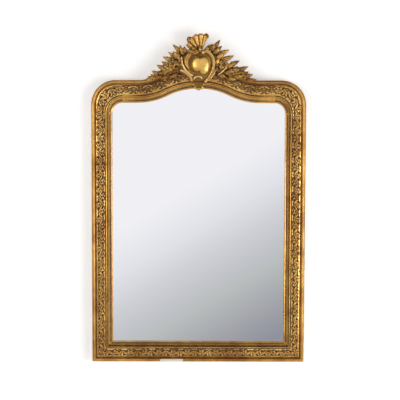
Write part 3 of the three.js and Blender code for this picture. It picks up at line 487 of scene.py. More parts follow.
def mark_relief(piece, passes, deep):
    """Grime and painted shade where a surface lies lower than what is round it, and rubbing where
    it stands up.
    """
    points = np.array([vert.co[:] for vert in piece.data.vertices])
    normals = np.array([vert.normal[:] for vert in piece.data.vertices])
    ends = np.array([edge.vertices[:] for edge in piece.data.edges])
    number = np.maximum(np.bincount(ends.ravel(), minlength=len(points)), 1)
    level = points
    for _ in range(passes):
        level = np.stack([(np.bincount(ends[:, 0], level[ends[:, 1], i], len(points))
                           + np.bincount(ends[:, 1], level[ends[:, 0], i], len(points))) / number
                          for i in range(3)], axis=1)
    sunk = ((level - points) * normals).sum(axis=1) / (deep * MM)
    mark(piece, "grime_and_shade", sunk)
    mark(piece, "worn", -sunk)


def outer_section():
    start = frieze_end + QUIRK_WIDTH
    radius = (stile_width - start) / 2
    points = [(frieze_end, 0), (frieze_end, QUIRK_FLOOR + 1), (frieze_end + 1, QUIRK_FLOOR),
              (start, QUIRK_FLOOR)]
    for t in shares(16)[1:]:
        angle = math.pi * (1 - t)
        rise = (ROUND_HEIGHT - QUIRK_FLOOR) * math.sin(angle)
        points.append((start + radius + radius * math.cos(angle), QUIRK_FLOOR + rise))
    return points + [(stile_width, 0)]


SECTION_PASSES = 3
SECTION_DEPTH = 0.42
PATCH_X = (-186, -78)
PATCH_HEIGHT = 16
outer_finish = {"roughness": 0.36, "rub": 0.04, "dirt_and_shade": 0.9}
outer_gold = gilding("outer", GOLD_LEAF, GOLD_THIN, **outer_finish)
outer_gold_lost = gilding("lost", GOLD_LEAF, GOLD_THIN, **outer_finish, lost=True)
for kind, side, label in LENGTH_NAMES:
    is_bottom = kind == "bottom"
    piece = finish_piece(f"outer_round_{label}", lay_moulding(outer_section(), kind, side),
                         outer_gold_lost if is_bottom else outer_gold,
                         [f"outer_moulding_{label}"])
    mark_relief(piece, SECTION_PASSES, SECTION_DEPTH)
    if is_bottom:
        # The gilding has flaked off down to the gesso on one stretch of the lower edge
        points = np.array([vert.co[:] for vert in piece.data.vertices]) / MM
        inside = (points[:, 0] > PATCH_X[0]) & (points[:, 0] < PATCH_X[1])
        mark(piece, "lost", inside & (points[:, 2] - foot < PATCH_HEIGHT))


# ---- Frieze ----
# A shallow swelling band between the two plain mouldings. Its running stem, leaves and flowers
# are pressed composition, glued on in strips, then gessoed and gilded matt.
FRIEZE_EDGE = 13
FRIEZE_CROWN = 17
RELIEF = 6.0
# Reach and depth of the frieze's marks: grime and painted shade in its hollows, rubbing on its
# ornament.
FRIEZE_MARK_PASSES = 9
FRIEZE_MARK_DEPTH = 0.75
REPEAT = 72
STEM_SWING = 9.5
STEM_HALF = 1.9
FLOWER_RADIUS = 9.6
GRAIN_SIZE = 1.15
FRIEZE_ROWS = 44


def mound(distance, half, power=2.0):
    """A rounded ridge: 1 along its middle and 0 from its half width out."""
    return np.sqrt(np.clip(1 - np.abs(distance / half) ** power, 0, 1))


def pressed_leaf(u, v, base, turn_by, length, width):
    """A pointed leaf of the band with a sunk midrib and cut edges, as heights from 0 to 1."""
    c, s = math.cos(turn_by), math.sin(turn_by)
    along = ((u - base[0]) * c + (v - base[1]) * s) / length
    off = -(u - base[0]) * s + (v - base[1]) * c
    inside = np.clip(along, 0, 1)
    half = width * np.sin(np.pi * inside ** 0.7) ** 0.8 * (1 - 0.2 * np.cos(inside * 25) ** 2)
    body = mound(off, np.maximum(half, 1e-3)) * (along > 0) * (along < 1)
    return body * (1 - 0.45 * np.exp(-(off / 0.55) ** 2))


def pressed_flower(u, v, centre, radius, petals, turn_by):
    """A flower of the band: round petals about a raised eye."""
    x, y = u - centre[0], v - centre[1]
    r, angle = np.hypot(x, y), np.arctan2(y, x) + turn_by
    lobe = 0.5 + 0.5 * np.cos(petals * angle)
    edge = radius * (0.78 + 0.22 * lobe)
    dish = mound(r, edge, 4.0) * (0.62 + 0.38 * lobe * np.clip(r / radius * 2, 0, 1))
    eye = mound(r, radius * 0.26) * 1.1
    ring = 1 - 0.5 * np.exp(-((r - radius * 0.34) / 0.6) ** 2)
    return np.maximum(dish * ring, eye)


def fold(v, turn):
    """Folds v over a closed form: up its front as far as turn, then back behind it. Gives whether
    a point is in front, and its share of the way across."""
    front = v < turn
    return front, np.where(front, v / turn, 1 - (v - turn) / (1 - turn))


def distances(line):
    """Distance along a line of points, from its start to each of them."""
    return np.concatenate([[0], np.cumsum(np.linalg.norm(np.diff(line, axis=0), axis=1))])


def running_ornament(u, v):
    """Height of the ornament from 0 to 1, at u mm along the band and v mm from its middle."""
    u = np.mod(u, REPEAT)
    best = np.zeros_like(u)
    for shift in (-REPEAT, 0, REPEAT):
        w = u - shift
        phase = 2 * np.pi * w / REPEAT
        slope = STEM_SWING * 2 * np.pi / REPEAT * np.cos(phase)
        stem = mound((v - STEM_SWING * np.sin(phase)) / np.sqrt(1 + slope ** 2), STEM_HALF)
        best = np.maximum(best, 0.7 * stem)
        for half, sign in ((0.25, 1), (0.75, -1)):
            x = half * REPEAT
            best = np.maximum(best, pressed_flower(w, v, (x, -sign * 6.2), FLOWER_RADIUS, 5, half))
            for lean, start, length, width in ((0.5, -19, 18, 6.0), (2.5, 18, 18, 6.0),
                                               (0.95, -8, 13, 4.4), (2.2, 9, 13, 4.4)):
                swing = STEM_SWING * math.sin(2 * math.pi * (0.25 + start / REPEAT))
                root = (x + start, sign * swing)
                side_leaf = pressed_leaf(w, v, root, -sign * lean, length, width)
                best = np.maximum(best, 0.92 * side_leaf)
            for lean, start in ((0.55, 2), (math.pi - 0.55, -2)):
                root = (x + start, sign * STEM_SWING)
                best = np.maximum(best, 0.9 * pressed_leaf(w, v, root, sign * lean, 18, 5.0))
            berries = mound(np.hypot(np.abs(w - x) - 16, v + sign * 15), 2.2)
            best = np.maximum(best, 0.8 * berries)
    return best


# The frieze's leaf is painted brighter than the plain mouldings' as a painted highlight on its
# raised ornament.
highlit_frieze_gold = gilding("frieze", "#f3c672", "#c28f4a", roughness=0.27, rub=0.2, dirt_and_shade=1.5)
band_width = frieze_end - frieze_start
for kind, side, label in LENGTH_NAMES:
    stations = LENGTHS[kind]
    middle = np.array([station((frieze_start + frieze_end) / 2) for station in stations])
    run = distances(middle)
    columns = int(run[-1] / GRAIN_SIZE)
    edge_d = np.array([frieze_start, frieze_end], float)
    ends = np.array([station(edge_d) for station in stations])

    def band(u, v):
        front, s = fold(v, 0.9)
        way = u * run[-1]
        inner, outer = [np.array([np.interp(way, run, ends[:, i, side_edge]) for i in (0, 1)])
                        for side_edge in (0, 1)]
        x, z = inner + (outer - inner) * s
        width = np.hypot(*(outer - inner))
        off = (s - 0.5) * np.minimum(width, band_width * 1.25)
        swell = FRIEZE_EDGE + (FRIEZE_CROWN - FRIEZE_EDGE) * np.sin(np.pi * s)
        if kind == "bottom":
            way = way - run[-1] / 2
        fade = np.clip(np.minimum(s, 1 - s) * 18, 0, 1)
        height = swell + RELIEF * running_ornament(way, off) * fade
        return at(side * x, carcass_front - np.where(front, height, 0), z)

    piece = finish_piece(f"frieze_band_{label}", lay(columns, FRIEZE_ROWS, band), highlit_frieze_gold,
                         [f"frieze_{label}"], angle=75)
    mark_relief(piece, FRIEZE_MARK_PASSES, FRIEZE_MARK_DEPTH)


# ---- Sight moulding ----
# The burnished inner moulding: a soft lip at the plate, a broad cove, a bead between two quirks.
# Its rebate behind holds the plate. Burnished, it is the brightest of the plain mouldings.
SIGHT_LIP = 4
LIP_WIDTH = 8
COVE_FOOT = 5
COVE_HEAD = (24, 14.5)
QUIRK_DEEP = 2
BEAD_CENTRE = (29, 15.6)
BEAD_RADIUS = 3.2
GROOVE_FLOOR = 11


def sight_section():
    points = [(0, 0), (0, SIGHT_LIP), (1.2, SIGHT_LIP + 1.4), (4, SIGHT_LIP + 2.2),
              (LIP_WIDTH - 0.8, SIGHT_LIP + 1.8), (LIP_WIDTH, COVE_FOOT)]
    for t in shares(8)[1:]:
        points.append((LIP_WIDTH + (COVE_HEAD[0] - LIP_WIDTH) * t,
                       COVE_FOOT + (COVE_HEAD[1] - COVE_FOOT) * t ** 1.6))
    points += [(COVE_HEAD[0] + 0.5, COVE_HEAD[1] - QUIRK_DEEP),
               (BEAD_CENTRE[0] - BEAD_RADIUS, COVE_HEAD[1] - QUIRK_DEEP)]
    for t in shares(10):
        points.append((BEAD_CENTRE[0] - BEAD_RADIUS * math.cos(math.pi * t),
                       BEAD_CENTRE[1] + BEAD_RADIUS * math.sin(math.pi * t)))
    return points + [(BEAD_CENTRE[0] + BEAD_RADIUS + 0.6, GROOVE_FLOOR),
                     (frieze_start - 1, GROOVE_FLOOR), (frieze_start, GROOVE_FLOOR + 1),
                     (frieze_start, 0)]


sight_gold = gilding("burnished", "#dcaa58", "#b68140", roughness=0.22, rub=0.06, dirt_and_shade=1.6)
for kind, side, label in LENGTH_NAMES:
    piece = finish_piece(f"sight_edge_{label}", lay_moulding(sight_section(), kind, side),
                         sight_gold, [f"sight_moulding_{label}"])
    mark_relief(piece, SECTION_PASSES, SECTION_DEPTH)


# ---- Plate ----
# Old plate glass, silvered and backed with paint. It gives a clear image, a shade greyer than
# what it faces.
PLATE_SILVER = "#f2f3f4"
PLATE_ROUGHNESS = 0.015

material, tree = new_material("silvered_plate_glass")
shader = add(tree, "BsdfPrincipled", {
    "Base Color": colour(PLATE_SILVER), "Metallic": 1.0, "Roughness": PLATE_ROUGHNESS})
add(tree, "OutputMaterial", links={"Surface": shader})


def refinish(name, material):
    """Gives a piece that keeps its own shape a new finish."""
    nodes[name].data.materials.clear()
    nodes[name].data.materials.append(material)


refinish("mirror_plate", material)


# ---- Carcass, blocks and backboards ----
# Sawn and planed pine, left bare at the back and darkened by age and dust. The grain runs along
# each member, with the boards of the back lying level.
PINE = "#b48d5d"
PINE_LATE = "#91643a"
PINE_DUST = "#6b5136"
RING_SPACING = 9
GRAIN_STRETCH = 14
DUST_PATCH = 140


def pine(name, along, plank=0):
    """Old pine with its grain along X or Z. Late wood shows as darker, harder lines. Each plank
    shows another stretch of grain, and is a little darker than the last."""
    material, tree = new_material(name)
    where = add(tree, "TexCoord").outputs["Object"]
    shrink = [1 / GRAIN_STRETCH if axis == along else 1 for axis in "XYZ"]
    laid = add(tree, "Mapping", {"Scale": shrink, "Location": (0, plank, plank)},
               {"Vector": where})
    grain = add(tree, "TexNoise", {"Scale": 1 / (RING_SPACING * MM), "Detail": 5.0,
                                   "Distortion": 0.6}, {"Vector": laid})
    late = add(tree, "MapRange", {"From Min": 0.45 - 0.06 * plank, "From Max": 0.62},
               {"Value": grain})
    wood = add(tree, "Mix", {"data_type": "RGBA", 6: colour(PINE), 7: colour(PINE_LATE)},
               {0: late})
    dust = add(tree, "TexNoise", {"Scale": 1 / (DUST_PATCH * MM), "Detail": 4.0},
               {"Vector": where})
    dust = add(tree, "MapRange", {"From Min": 0.4, "From Max": 0.75, "To Max": 0.7},
               {"Value": dust})
    face = add(tree, "Mix", {"data_type": "RGBA", 7: colour(PINE_DUST)}, {0: dust, 6: wood})
    bump = add(tree, "Bump", {"Strength": 0.4, "Distance": 0.4 * MM}, {"Height": grain})
    shader = add(tree, "BsdfPrincipled", {"Roughness": 0.72}, {"Base Color": face, "Normal": bump})
    add(tree, "OutputMaterial", links={"Surface": shader})
    return material


upright_pine, level_pine = pine("pine_upright", "Z"), pine("pine_level", "X")
for name in nodes:
    if name.startswith(("carcass", "glazing", "crest_core", "crest_batten")):
        upright = "stile" in name or "batten" in name or "_left_" in name or "_right_" in name
        refinish(name, upright_pine if upright else level_pine)
for plank, name in enumerate(("backboard_1", "backboard_2", "backboard_3", "backboard_top")):
    refinish(name, pine(f"pine_plank_{plank}", "X", plank))


# ---- Hangers and their screws ----
# Two straps of sheet iron, each folded round the bar of a D-ring of wire, which swings on it.
# Three slotted screws hold each strap to its stile. The iron is dark, with rust in patches.
IRON = "#5e5954"
RUST = "#5a3a26"
RUST_PATCH = 9
STRAP_SHEET = 1.5
SCREW_DROPS = (24, 38, 52)
SCREW_RADIUS = 3.8
SCREW_DOME = 1.3
SLOT_HALF = 0.55
SLOT_DEPTH = 0.8

material, tree = new_material("wrought_iron_sheet_and_wire")
patches = add(tree, "TexNoise", {"Scale": 1 / (RUST_PATCH * MM), "Detail": 6.0},
              {"Vector": add(tree, "TexCoord").outputs["Object"]})
rusted = add(tree, "MapRange", {"From Min": 0.48, "From Max": 0.66}, {"Value": patches})
face = add(tree, "Mix", {"data_type": "RGBA", 6: colour(IRON), 7: colour(RUST)}, {0: rusted})
bare = add(tree, "MapRange", {"To Min": 0.95, "To Max": 0.1}, {"Value": rusted})
rough = add(tree, "MapRange", {"To Min": 0.42, "To Max": 0.85}, {"Value": rusted})
shader = add(tree, "BsdfPrincipled", links={
    "Base Color": face, "Metallic": bare, "Roughness": rough})
add(tree, "OutputMaterial", links={"Surface": shader})
iron = material


def join(forms):
    """Several laid forms as one bmesh."""
    whole = bmesh.new()
    for form in forms:
        mesh = bpy.data.meshes.new("part")
        form.to_mesh(mesh)
        form.free()
        whole.from_mesh(mesh)
        bpy.data.meshes.remove(mesh)
    return whole


def screw_head(x, y, z, turn):
    """A slotted head seen from behind, seated at (x, y, z), with its slot at the angle turn."""
    def place(u, v):
        out, share = fold(v, 0.8)
        r = SCREW_RADIUS * share
        across, up = r * np.cos(2 * np.pi * u), r * np.sin(2 * np.pi * u)
        rise = SCREW_DOME * (1 - 0.6 * share ** 2)
        off_slot = np.abs(across * math.sin(turn) - up * math.cos(turn))
        rise = np.where(off_slot < SLOT_HALF, rise - SLOT_DEPTH, rise)
        return at(x + across, y + np.where(out, rise, -0.5), z + up)
    return lay(48, 20, place)


for label, side in sides.items():
    for name in (f"hanger_strap_{label}", f"hanger_ring_{label}"):
        refinish(name, iron)
    low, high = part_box(f"hanger_strap_{label}")
    middle = (low.x + high.x) / 2 / MM
    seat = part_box("backboard_1")[0][1] / MM + STRAP_SHEET
    screws = [screw_head(middle, seat, -foot - drop, 0.5 + 0.7 * k * side)
              for k, drop in enumerate(SCREW_DROPS)]
    finish_piece(f"hanger_screws_{label}", join(screws), iron)


# ---- Cresting: boss and its ground ----
# The cartouche in the middle: a burnished heart-shaped boss on a shaped ground, carved in the
# solid and glued to the sawn core. Crest points are [x, z] in mm from the top of the arch.
GROUND_Y = -72
BOSS_CENTRE = (9, 6)
BOSS_OUTLINE = [(60, 8), (57, 31), (44, 47), (27, 51), (5, 42), (-13, 49), (-31, 39), (-41, 18),
                (-41, -5), (-29, -26), (-10, -33), (0, -31), (10, -42), (29, -46), (48, -34)]
BOSS_RISE = 22
BOSS_RINGS = 26
BOSS_STEPS = 96

crest_pieces = []


def headings(line):
    """Unit ways along a flat line of points."""
    steps = np.gradient(line, axis=0)
    return steps / np.maximum(np.linalg.norm(steps, axis=1), 1e-6)[:, None]


def smooth(points, count, closed=False):
    """A smooth line through points, as count + 1 places evenly shared between them."""
    line = np.array(points, float)
    if closed:
        line = np.vstack([line[-1], line, line[0], line[1]])
    else:
        line = np.vstack([2 * line[0] - line[1], line, 2 * line[-1] - line[-2]])
    t = np.linspace(0, len(line) - 3, count + 1)
    i = np.minimum(t.astype(int), len(line) - 4)
    t = (t - i)[:, None]
    a, b, c, d = line[i], line[i + 1], line[i + 2], line[i + 3]
    return 0.5 * (2 * b + (c - a) * t + (2 * a - 5 * b + 4 * c - d) * t ** 2
                  + (3 * b - a - 3 * c + d) * t ** 3)


def along(line, u):
    """Places on a line of points, for u from 0 to 1."""
    where = u * (len(line) - 1)
    return np.stack([np.interp(where, np.arange(len(line)), part) for part in line.T], axis=-1)


def crest(x, y, z):
    return at(x, y, z + arch_top)


def finish_carving(name, bm, material, replaced=None):
    """A carved piece, in place of the CAD node of its own name unless another is given."""
    crest_pieces.append(finish_piece(name, bm, material, [replaced or name], angle=60))


def boss_form(outline, centre, back, rise):
    ring = smooth(outline, BOSS_STEPS, closed=True)
    middle_size = np.linalg.norm(ring - centre, axis=1).mean()

    def place(u, v):
        edge = along(ring, u) - centre
        front, share = fold(v, 0.8)
        dome = rise * (1 - share ** 2.8) ** 0.55 * front
        size = np.maximum(np.linalg.norm(edge, axis=1), 1e-6)
        rounder = (middle_size / size - 1) * (1 - share) + 1
        x, z = [centre[i] + edge[:, i] * share * rounder for i in (0, 1)]
        return crest(x, back - dome, z)
    return lay(BOSS_STEPS, BOSS_RINGS, place)


boss_gold = gilding("boss", "#e0b866", "#cfa252", roughness=0.32, rub=0.05, dirt_and_shade=0.8)
carved_gold = gilding("carved", "#d0a156", "#a97739", roughness=0.32, rub=0.3, dirt_and_shade=1.1)
carved_dull = gilding("carved_dull", "#cb9c54", "#976b32", roughness=0.36, rub=0.3, dirt_and_shade=1.2)
# The ground's gold is painted darker than the carving: painted shade and grime in the recess
# behind the boss and scrolls.
shaded_ground_gold = gilding("ground", "#8f6835", "#5f4222", roughness=0.45, rub=0.2, dirt_and_shade=1.0)
boss = boss_form(BOSS_OUTLINE, BOSS_CENTRE, GROUND_Y - 0.3, BOSS_RISE)
finish_carving("boss", boss, boss_gold, "cartouche_boss")
refinish("cartouche_ground", shaded_ground_gold)


# ---- Cresting: scrolls ----
# Fluted C and S scrolls round the boss, each carved with two raised edges and a hollow between,
# and rolled up at its ends. They are burnished, and their gold is painted paler as a painted
# highlight, so they stand out from the leaves.
# The pale leaf colour of the scrolls is a painted highlight.
highlit_scroll_gold = gilding("scroll", "#ffe0a0", "#f0c880", roughness=0.3, rub=0.12, dirt_and_shade=0.5)
SCROLL_COLUMNS = 120
SCROLL_ROWS = 20


def scroll(points, halves, back, rise, flute=0.5):
    """A bar along [x, z] points, half as wide at each as halves says, with a fluted front."""
    line = smooth([(x, z, half) for (x, z), half in zip(points, halves)], SCROLL_COLUMNS)
    run = distances(line[:, :2])
    heading = headings(line[:, :2])

    def place(u, v):
        at_u, way = along(line, u), along(heading, u)
        gone = np.interp(u, np.linspace(0, 1, len(run)), run)
        half = at_u[:, 2]
        near_end = np.minimum(gone, run[-1] - gone)
        full = mound(1 - np.minimum(near_end / half, 1), 1)
        front, s = fold(v, 0.75)
        s = s * 2 - 1
        round_over = mound(s, 1) ** 0.6
        dip = 1 - flute * np.exp(-(s / 0.42) ** 2) * np.clip(near_end / (2.5 * half) - 0.2, 0, 1)
        height = np.where(front, rise * full * round_over * dip, 0)
        x = at_u[:, 0] - way[:, 1] * s * half * full
        z = at_u[:, 1] + way[:, 0] * s * half * full
        return crest(x, back - height, z)
    return lay(SCROLL_COLUMNS, SCROLL_ROWS, place)


SCROLLS = {
    "scroll_right_inner": (-72, 20, 0.45, [
        (17, 50), (21, 60), (33, 67), (48, 61), (62, 45), (71, 24), (73, 4), (70, -18), (63, -40),
        (51, -60), (37, -75), (26, -82)],
        [8.4, 8.6, 8.2, 7.8, 7.4, 7.2, 7.2, 7.2, 7, 6.6, 5.8, 4.6]),
    "scroll_right_outer": (-64, 14, 0, [
        (81, 36), (84, 18), (84, -4), (80, -26), (71, -46), (58, -64), (46, -76)],
        [2, 2.8, 3.2, 3.2, 3.2, 3, 2.6]),
    "scroll_left_upper": (-72, 19, 0.2, [
        (-82, 40), (-83, 26), (-81, 10), (-75, -6), (-66, -21), (-54, -35), (-40, -46),
        (-26, -52)], [3, 4, 4.8, 5, 5, 5, 4.8, 4]),
    "scroll_left_lower": (-66, 18, 0.35, [
        (-37, -78), (-36, -66), (-44, -53), (-58, -41), (-74, -30), (-92, -24)],
        [7, 6.6, 6, 5.8, 5.6, 4.6]),
    "scroll_base": (-64, 18, 0.2, [(-26, -70), (-19, -60), (-4, -55), (10, -58), (18, -68)],
                    [5.4, 4.8, 4.6, 4.8, 5.4]),
}
for name, (back, rise, flute, points, halves) in SCROLLS.items():
    finish_carving(name, scroll(points, halves, back, rise, flute), highlit_scroll_gold)


# ---- Cresting: leaves ----
# Leaves are cut from the solid with a sunk midrib, side veins and notched edges. Acanthus leaves
# run up the left of the boss, and a crown of small ones spreads from under the shell.
LEAF_COLUMNS = 30
LEAF_ROWS = 22


def leaf(points, width, lift=4.0, lobes=4, notch=0.2, thick=4.0, tuck=0.16, fullness=0.72):
    """A leaf along (x, y, z) points from stalk to tip, as wide as width at its middle."""
    line = smooth(points, LEAF_COLUMNS)
    heading = headings(line[:, [0, 2]])

    def place(u, v):
        spot, way = along(line, u), along(heading, u)
        front, s = fold(v, 0.72)
        s = s * 2 - 1
        outline = np.sin(np.pi * u ** fullness) ** 0.85
        beat = lobes * (u - 0.12 * np.abs(s))
        cut = 1 - notch * (1 - np.abs(np.cos(np.pi * beat))) * np.abs(s) ** 1.5
        half = width / 2 * outline * cut
        body = mound(s, 1) * outline ** 0.4
        rib = 0.5 * np.exp(-(s / 0.13) ** 2) * outline
        vein = 0.2 * np.cos(2 * np.pi * lobes * (u - 0.3 * np.abs(s))) * np.abs(s) * outline
        raised = thick * (body - rib * body + vein * body)
        depth = np.where(front, raised, -0.35 * thick * body)
        depth = depth + lift * np.sin(np.pi * u) - tuck * width * s ** 2 * outline
        x = spot[:, 0] - way[:, 1] * s * half
        z = spot[:, 2] + way[:, 0] * s * half
        return crest(x, spot[:, 1] - depth, z)
    return lay(LEAF_COLUMNS, LEAF_ROWS, place)


acanthus = [
    leaf([(-24, -74, 56), (-44, -77, 52), (-58, -78, 34), (-61, -78, 8), (-52, -76, -14),
          (-34, -74, -30)], 32, lift=6, lobes=7, notch=0.34, thick=6),
    leaf([(-50, -68, -30), (-66, -70, -10), (-72, -72, 16), (-66, -70, 44)], 24, lobes=5,
         notch=0.3),
    leaf([(-56, -74, -10), (-42, -80, -32), (-20, -76, -44)], 18, lobes=5, notch=0.3),
]
finish_carving("acanthus_left", join(acanthus), carved_gold)

crown_leaves = [
    leaf([(2, -74, 52), (-22, -82, 60), (-46, -80, 66), (-66, -72, 58)], 24, lobes=5, notch=0.3,
         thick=6),
    leaf([(0, -70, 56), (-18, -80, 72), (-34, -80, 84), (-50, -70, 80)], 22, lobes=4, notch=0.25),
    leaf([(4, -76, 52), (-8, -86, 62), (-20, -84, 70), (-26, -76, 62)], 18, lobes=3, thick=6),
    leaf([(22, -70, 62), (36, -80, 74), (46, -78, 88), (52, -68, 102)], 22, lobes=4, notch=0.25),
    leaf([(-6, -66, 60), (-28, -72, 78), (-48, -72, 90), (-64, -64, 98)], 26, lobes=5, notch=0.25),
    leaf([(24, -64, 60), (44, -70, 78), (58, -70, 92), (66, -64, 106)], 26, lobes=5, notch=0.25),
]
finish_carving("acanthus_crown", join(crown_leaves), carved_gold)


# ---- Cresting: shell and drop ----
# The scallop at the top and the smaller one that hangs below. Each is hollowed from behind, with
# broad rounded flutes that swell and roll over at the lip. Two curls close the shell's ends.
SHELL_HINGE = (8, 58)
SHELL_LOBES = [(-54, 80), (-36, 90), (-17, 94), (1, 95), (17, 92)]
SHELL_CURLS = [[(24, 144), (34, 148), (42, 143), (43, 134), (36, 130), (32, 136)],
               [(-38, 132), (-48, 132), (-55, 124), (-53, 115), (-45, 114), (-43, 121)]]
CURL_HALVES = [3, 4, 4.8, 4.6, 4.2, 3.6]
DROP_HINGE = (0, -74)
DROP_LOBES = [(126, 36), (153, 41), (180, 44), (207, 41), (234, 36)]
FAN_COLUMNS = 150
FAN_ROWS = 44


def fan(hinge, lobes, back, bowl, flute):
    """Rounded lobes, given as (degrees from upright, length), spread about their hinge."""
    angles = np.radians([angle for angle, _ in lobes])
    gaps = (angles[1:] + angles[:-1]) / 2
    edges = np.concatenate([[2 * angles[0] - gaps[0]], gaps, [2 * angles[-1] - gaps[-1]]])
    sizes = np.array([size for _, size in lobes], float)

    def place(u, v):
        angle = edges[0] + (edges[-1] - edges[0]) * u
        lobe = np.clip(np.searchsorted(edges, angle, side="right") - 1, 0, len(angles) - 1)
        inside = (angle - edges[lobe]) / (edges[lobe + 1] - edges[lobe])
        rib = np.sin(np.pi * np.clip(inside, 0, 1)) ** 0.45
        front, r = fold(v, 0.8)
        out = np.interp(angle, angles, sizes) * (0.93 + 0.07 * rib) * r
        swell = bowl * r ** 1.5 + flute * rib * np.clip(0.25 + r, 0, 1) * np.clip(r * 5, 0, 1)
        over = (swell + 3) * np.clip((r - 0.88) / 0.12, 0, 1) ** 2.4
        groove = 0.22 * flute * np.exp(-((inside - 0.5) / 0.09) ** 2) * np.clip(r - 0.2, 0, 1)
        depth = np.where(front, back + swell - over * 0.55 - groove, back - 4 * (1 - r))
        return crest(hinge[0] + out * np.sin(angle), -depth, hinge[1] + out * np.cos(angle))
    return lay(FAN_COLUMNS, FAN_ROWS, place)


shell_parts = [fan(SHELL_HINGE, SHELL_LOBES, back=66, bowl=19, flute=8)]
shell_parts += [scroll(curl, CURL_HALVES, back=-72, rise=20, flute=0.25) for curl in SHELL_CURLS]
shell_parts += [
    leaf([(7, -72, 54), (6, -84, 72), (2, -84, 98)], 24, lobes=3, notch=0.15, thick=5),
    leaf([(12, -72, 56), (26, -82, 66), (34, -78, 84)], 20, lobes=3, notch=0.15, thick=5),
    leaf([(2, -72, 56), (-14, -82, 66), (-26, -78, 82)], 20, lobes=3, notch=0.15, thick=5),
]
finish_carving("shell", join(shell_parts), carved_gold)
drop = fan(DROP_HINGE, DROP_LOBES, back=54, bowl=12, flute=7)
finish_carving("drop", drop, boss_gold, "cartouche_drop")


# ---- Cresting: sprays ----
# Branches of broad pointed leaves that climb the arch on both sides. Each grows on a carved bed
# that laps the outer moulding, with small leaves and buds crowded between the large ones.
STEM_Y = -70
BED_LAP = 14
BED_RISE = 11
SPRAY_BEDS = {
    "spray_left": [(52, 76), (84, 72), (108, 52), (132, 24), (160, -6), (196, -30), (230, -54),
                   (256, -68)],
    "spray_right": [(56, 92), (80, 78), (102, 50), (126, 26), (160, 0), (200, -28), (236, -52),
                    (264, -66)],
}
# Each leaf is (x, z) of its base, (x, z) of its tip, and its width
SPRAYS = {
    "spray_left": [
        (-84, 58, -128, 100, 22), (-78, 50, -92, 97, 20), (-64, 56, -72, 90, 20),
        (-130, 20, -176, 40, 23), (-108, 34, -150, 62, 20), (-162, -24, -205, 1, 23),
        (-144, -4, -182, 18, 20), (-188, -48, -230, -29, 21), (-204, -64, -240, -62, 15),
        (-228, -66, -268, -73, 13), (-88, 26, -126, 66, 28), (-92, -6, -112, 14, 18),
        (-138, -38, -186, -26, 24), (-124, -24, -166, -10, 22), (-170, -56, -214, -58, 18),
        (-102, -42, -146, -62, 21), (-70, 8, -108, 44, 24), (-148, -54, -188, -70, 17)],
    "spray_right": [
        (72, 80, 104, 124, 21), (92, 48, 147, 74, 26), (112, 22, 171, 46, 24),
        (148, -2, 198, 23, 23), (188, -26, 241, -6, 22), (220, -52, 264, -45, 20),
        (246, -70, 282, -67, 14), (58, 66, 84, 108, 21), (84, 28, 130, 66, 27),
        (68, 50, 112, 94, 25), (132, -14, 176, 12, 24), (162, -34, 212, -8, 23),
        (196, -48, 244, -30, 20), (126, -38, 174, -30, 24), (168, -56, 216, -52, 21),
        (92, -42, 134, -58, 21), (74, -4, 104, 38, 24), (142, -60, 184, -70, 17)],
}
BUDS = {
    "spray_left": [(-129, 37, 9), (-168, 2, 8), (-194, -34, 7), (-148, -48, 8), (-100, 60, 8),
                   (-104, -28, 8)],
    "spray_right": [(152, -46, 11), (100, 58, 9), (160, 12, 8), (196, -18, 8), (226, -42, 7),
                    (88, -16, 9)],
}
SMALL_LEAF = 34
SMALL_WIDTH = 17
SMALL_STEP = 19
SMALL_ROWS = (0.2, 0.5, 0.82)
BED_BACK = 50
BED_EDGE = 60
BED_LUMP = 1.6
BED_COLUMNS = 120
BED_ROWS = 40

outer_line = np.array([station(stile_width) for station in LENGTHS["arch"]])[::-1]


def bed_between(x, tops):
    """The bed's lowest point, which follows the frame's outer edge, and its highest."""
    low = np.interp(x, outer_line[:, 0], outer_line[:, 1]) - arch_top - BED_LAP
    return low, np.interp(x, *np.array(tops, float).T)


def bed_form(side, tops):
    def place(u, v):
        x = tops[0][0] + (tops[-1][0] - tops[0][0]) * u
        low, high = bed_between(x, tops)
        front, share = fold(v, 0.75)
        ends = np.clip(np.minimum(u, 1 - u) / 0.06, 0, 1) ** 0.5
        swell = np.sin(np.pi * share) ** 0.5 * ends
        lumps = BED_LUMP * np.sin(x / 5.5) * np.sin((low + (high - low) * share) / 6 + x / 11)
        depth = np.where(front, BED_EDGE + (BED_RISE + lumps) * swell, BED_BACK)
        return crest(side * x, -depth, low + (high - low) * share)
    return lay(BED_COLUMNS, BED_ROWS, place)


def petal(x, front, z, radius, turn, spots, width, **form):
    """A petal round (x, z), turned by an angle. Spots along it are (share of the radius, depth,
    lean)."""
    points = [(x + radius * out * math.cos(turn + lean), front + depth,
               z + radius * out * math.sin(turn + lean)) for out, depth, lean in spots]
    return leaf(points, radius * width, lobes=1, notch=0, **form)


def bud(x, z, radius, front):
    """A round bud of three wrapped petals."""
    ring = [(x + radius * math.cos(a), z + radius * math.sin(a)) for a in np.linspace(0, 5.5, 9)]
    spots = [(0.8, 0.6 * radius, 0), (0.3, -0.25 * radius, 0.7), (0.7, 0.5 * radius, 2.6)]
    wraps = [petal(x, front, z, radius, turn, spots, 0.9, lift=1, thick=2.5)
             for turn in (0.4, 2.5, 4.6)]
    return [boss_form(ring, (x, z), front + radius, radius), *wraps]


def bent_leaf(base, tip, depths, width, **form):
    """A leaf from base to tip, with its depth at its stalk, middle and tip."""
    middle = ((base[0] + tip[0]) / 2, (base[1] + tip[1]) / 2)
    points = [(x, depth, z) for (x, z), depth in zip((base, middle, tip), depths)]
    return leaf(points, width, fullness=0.62, **form)


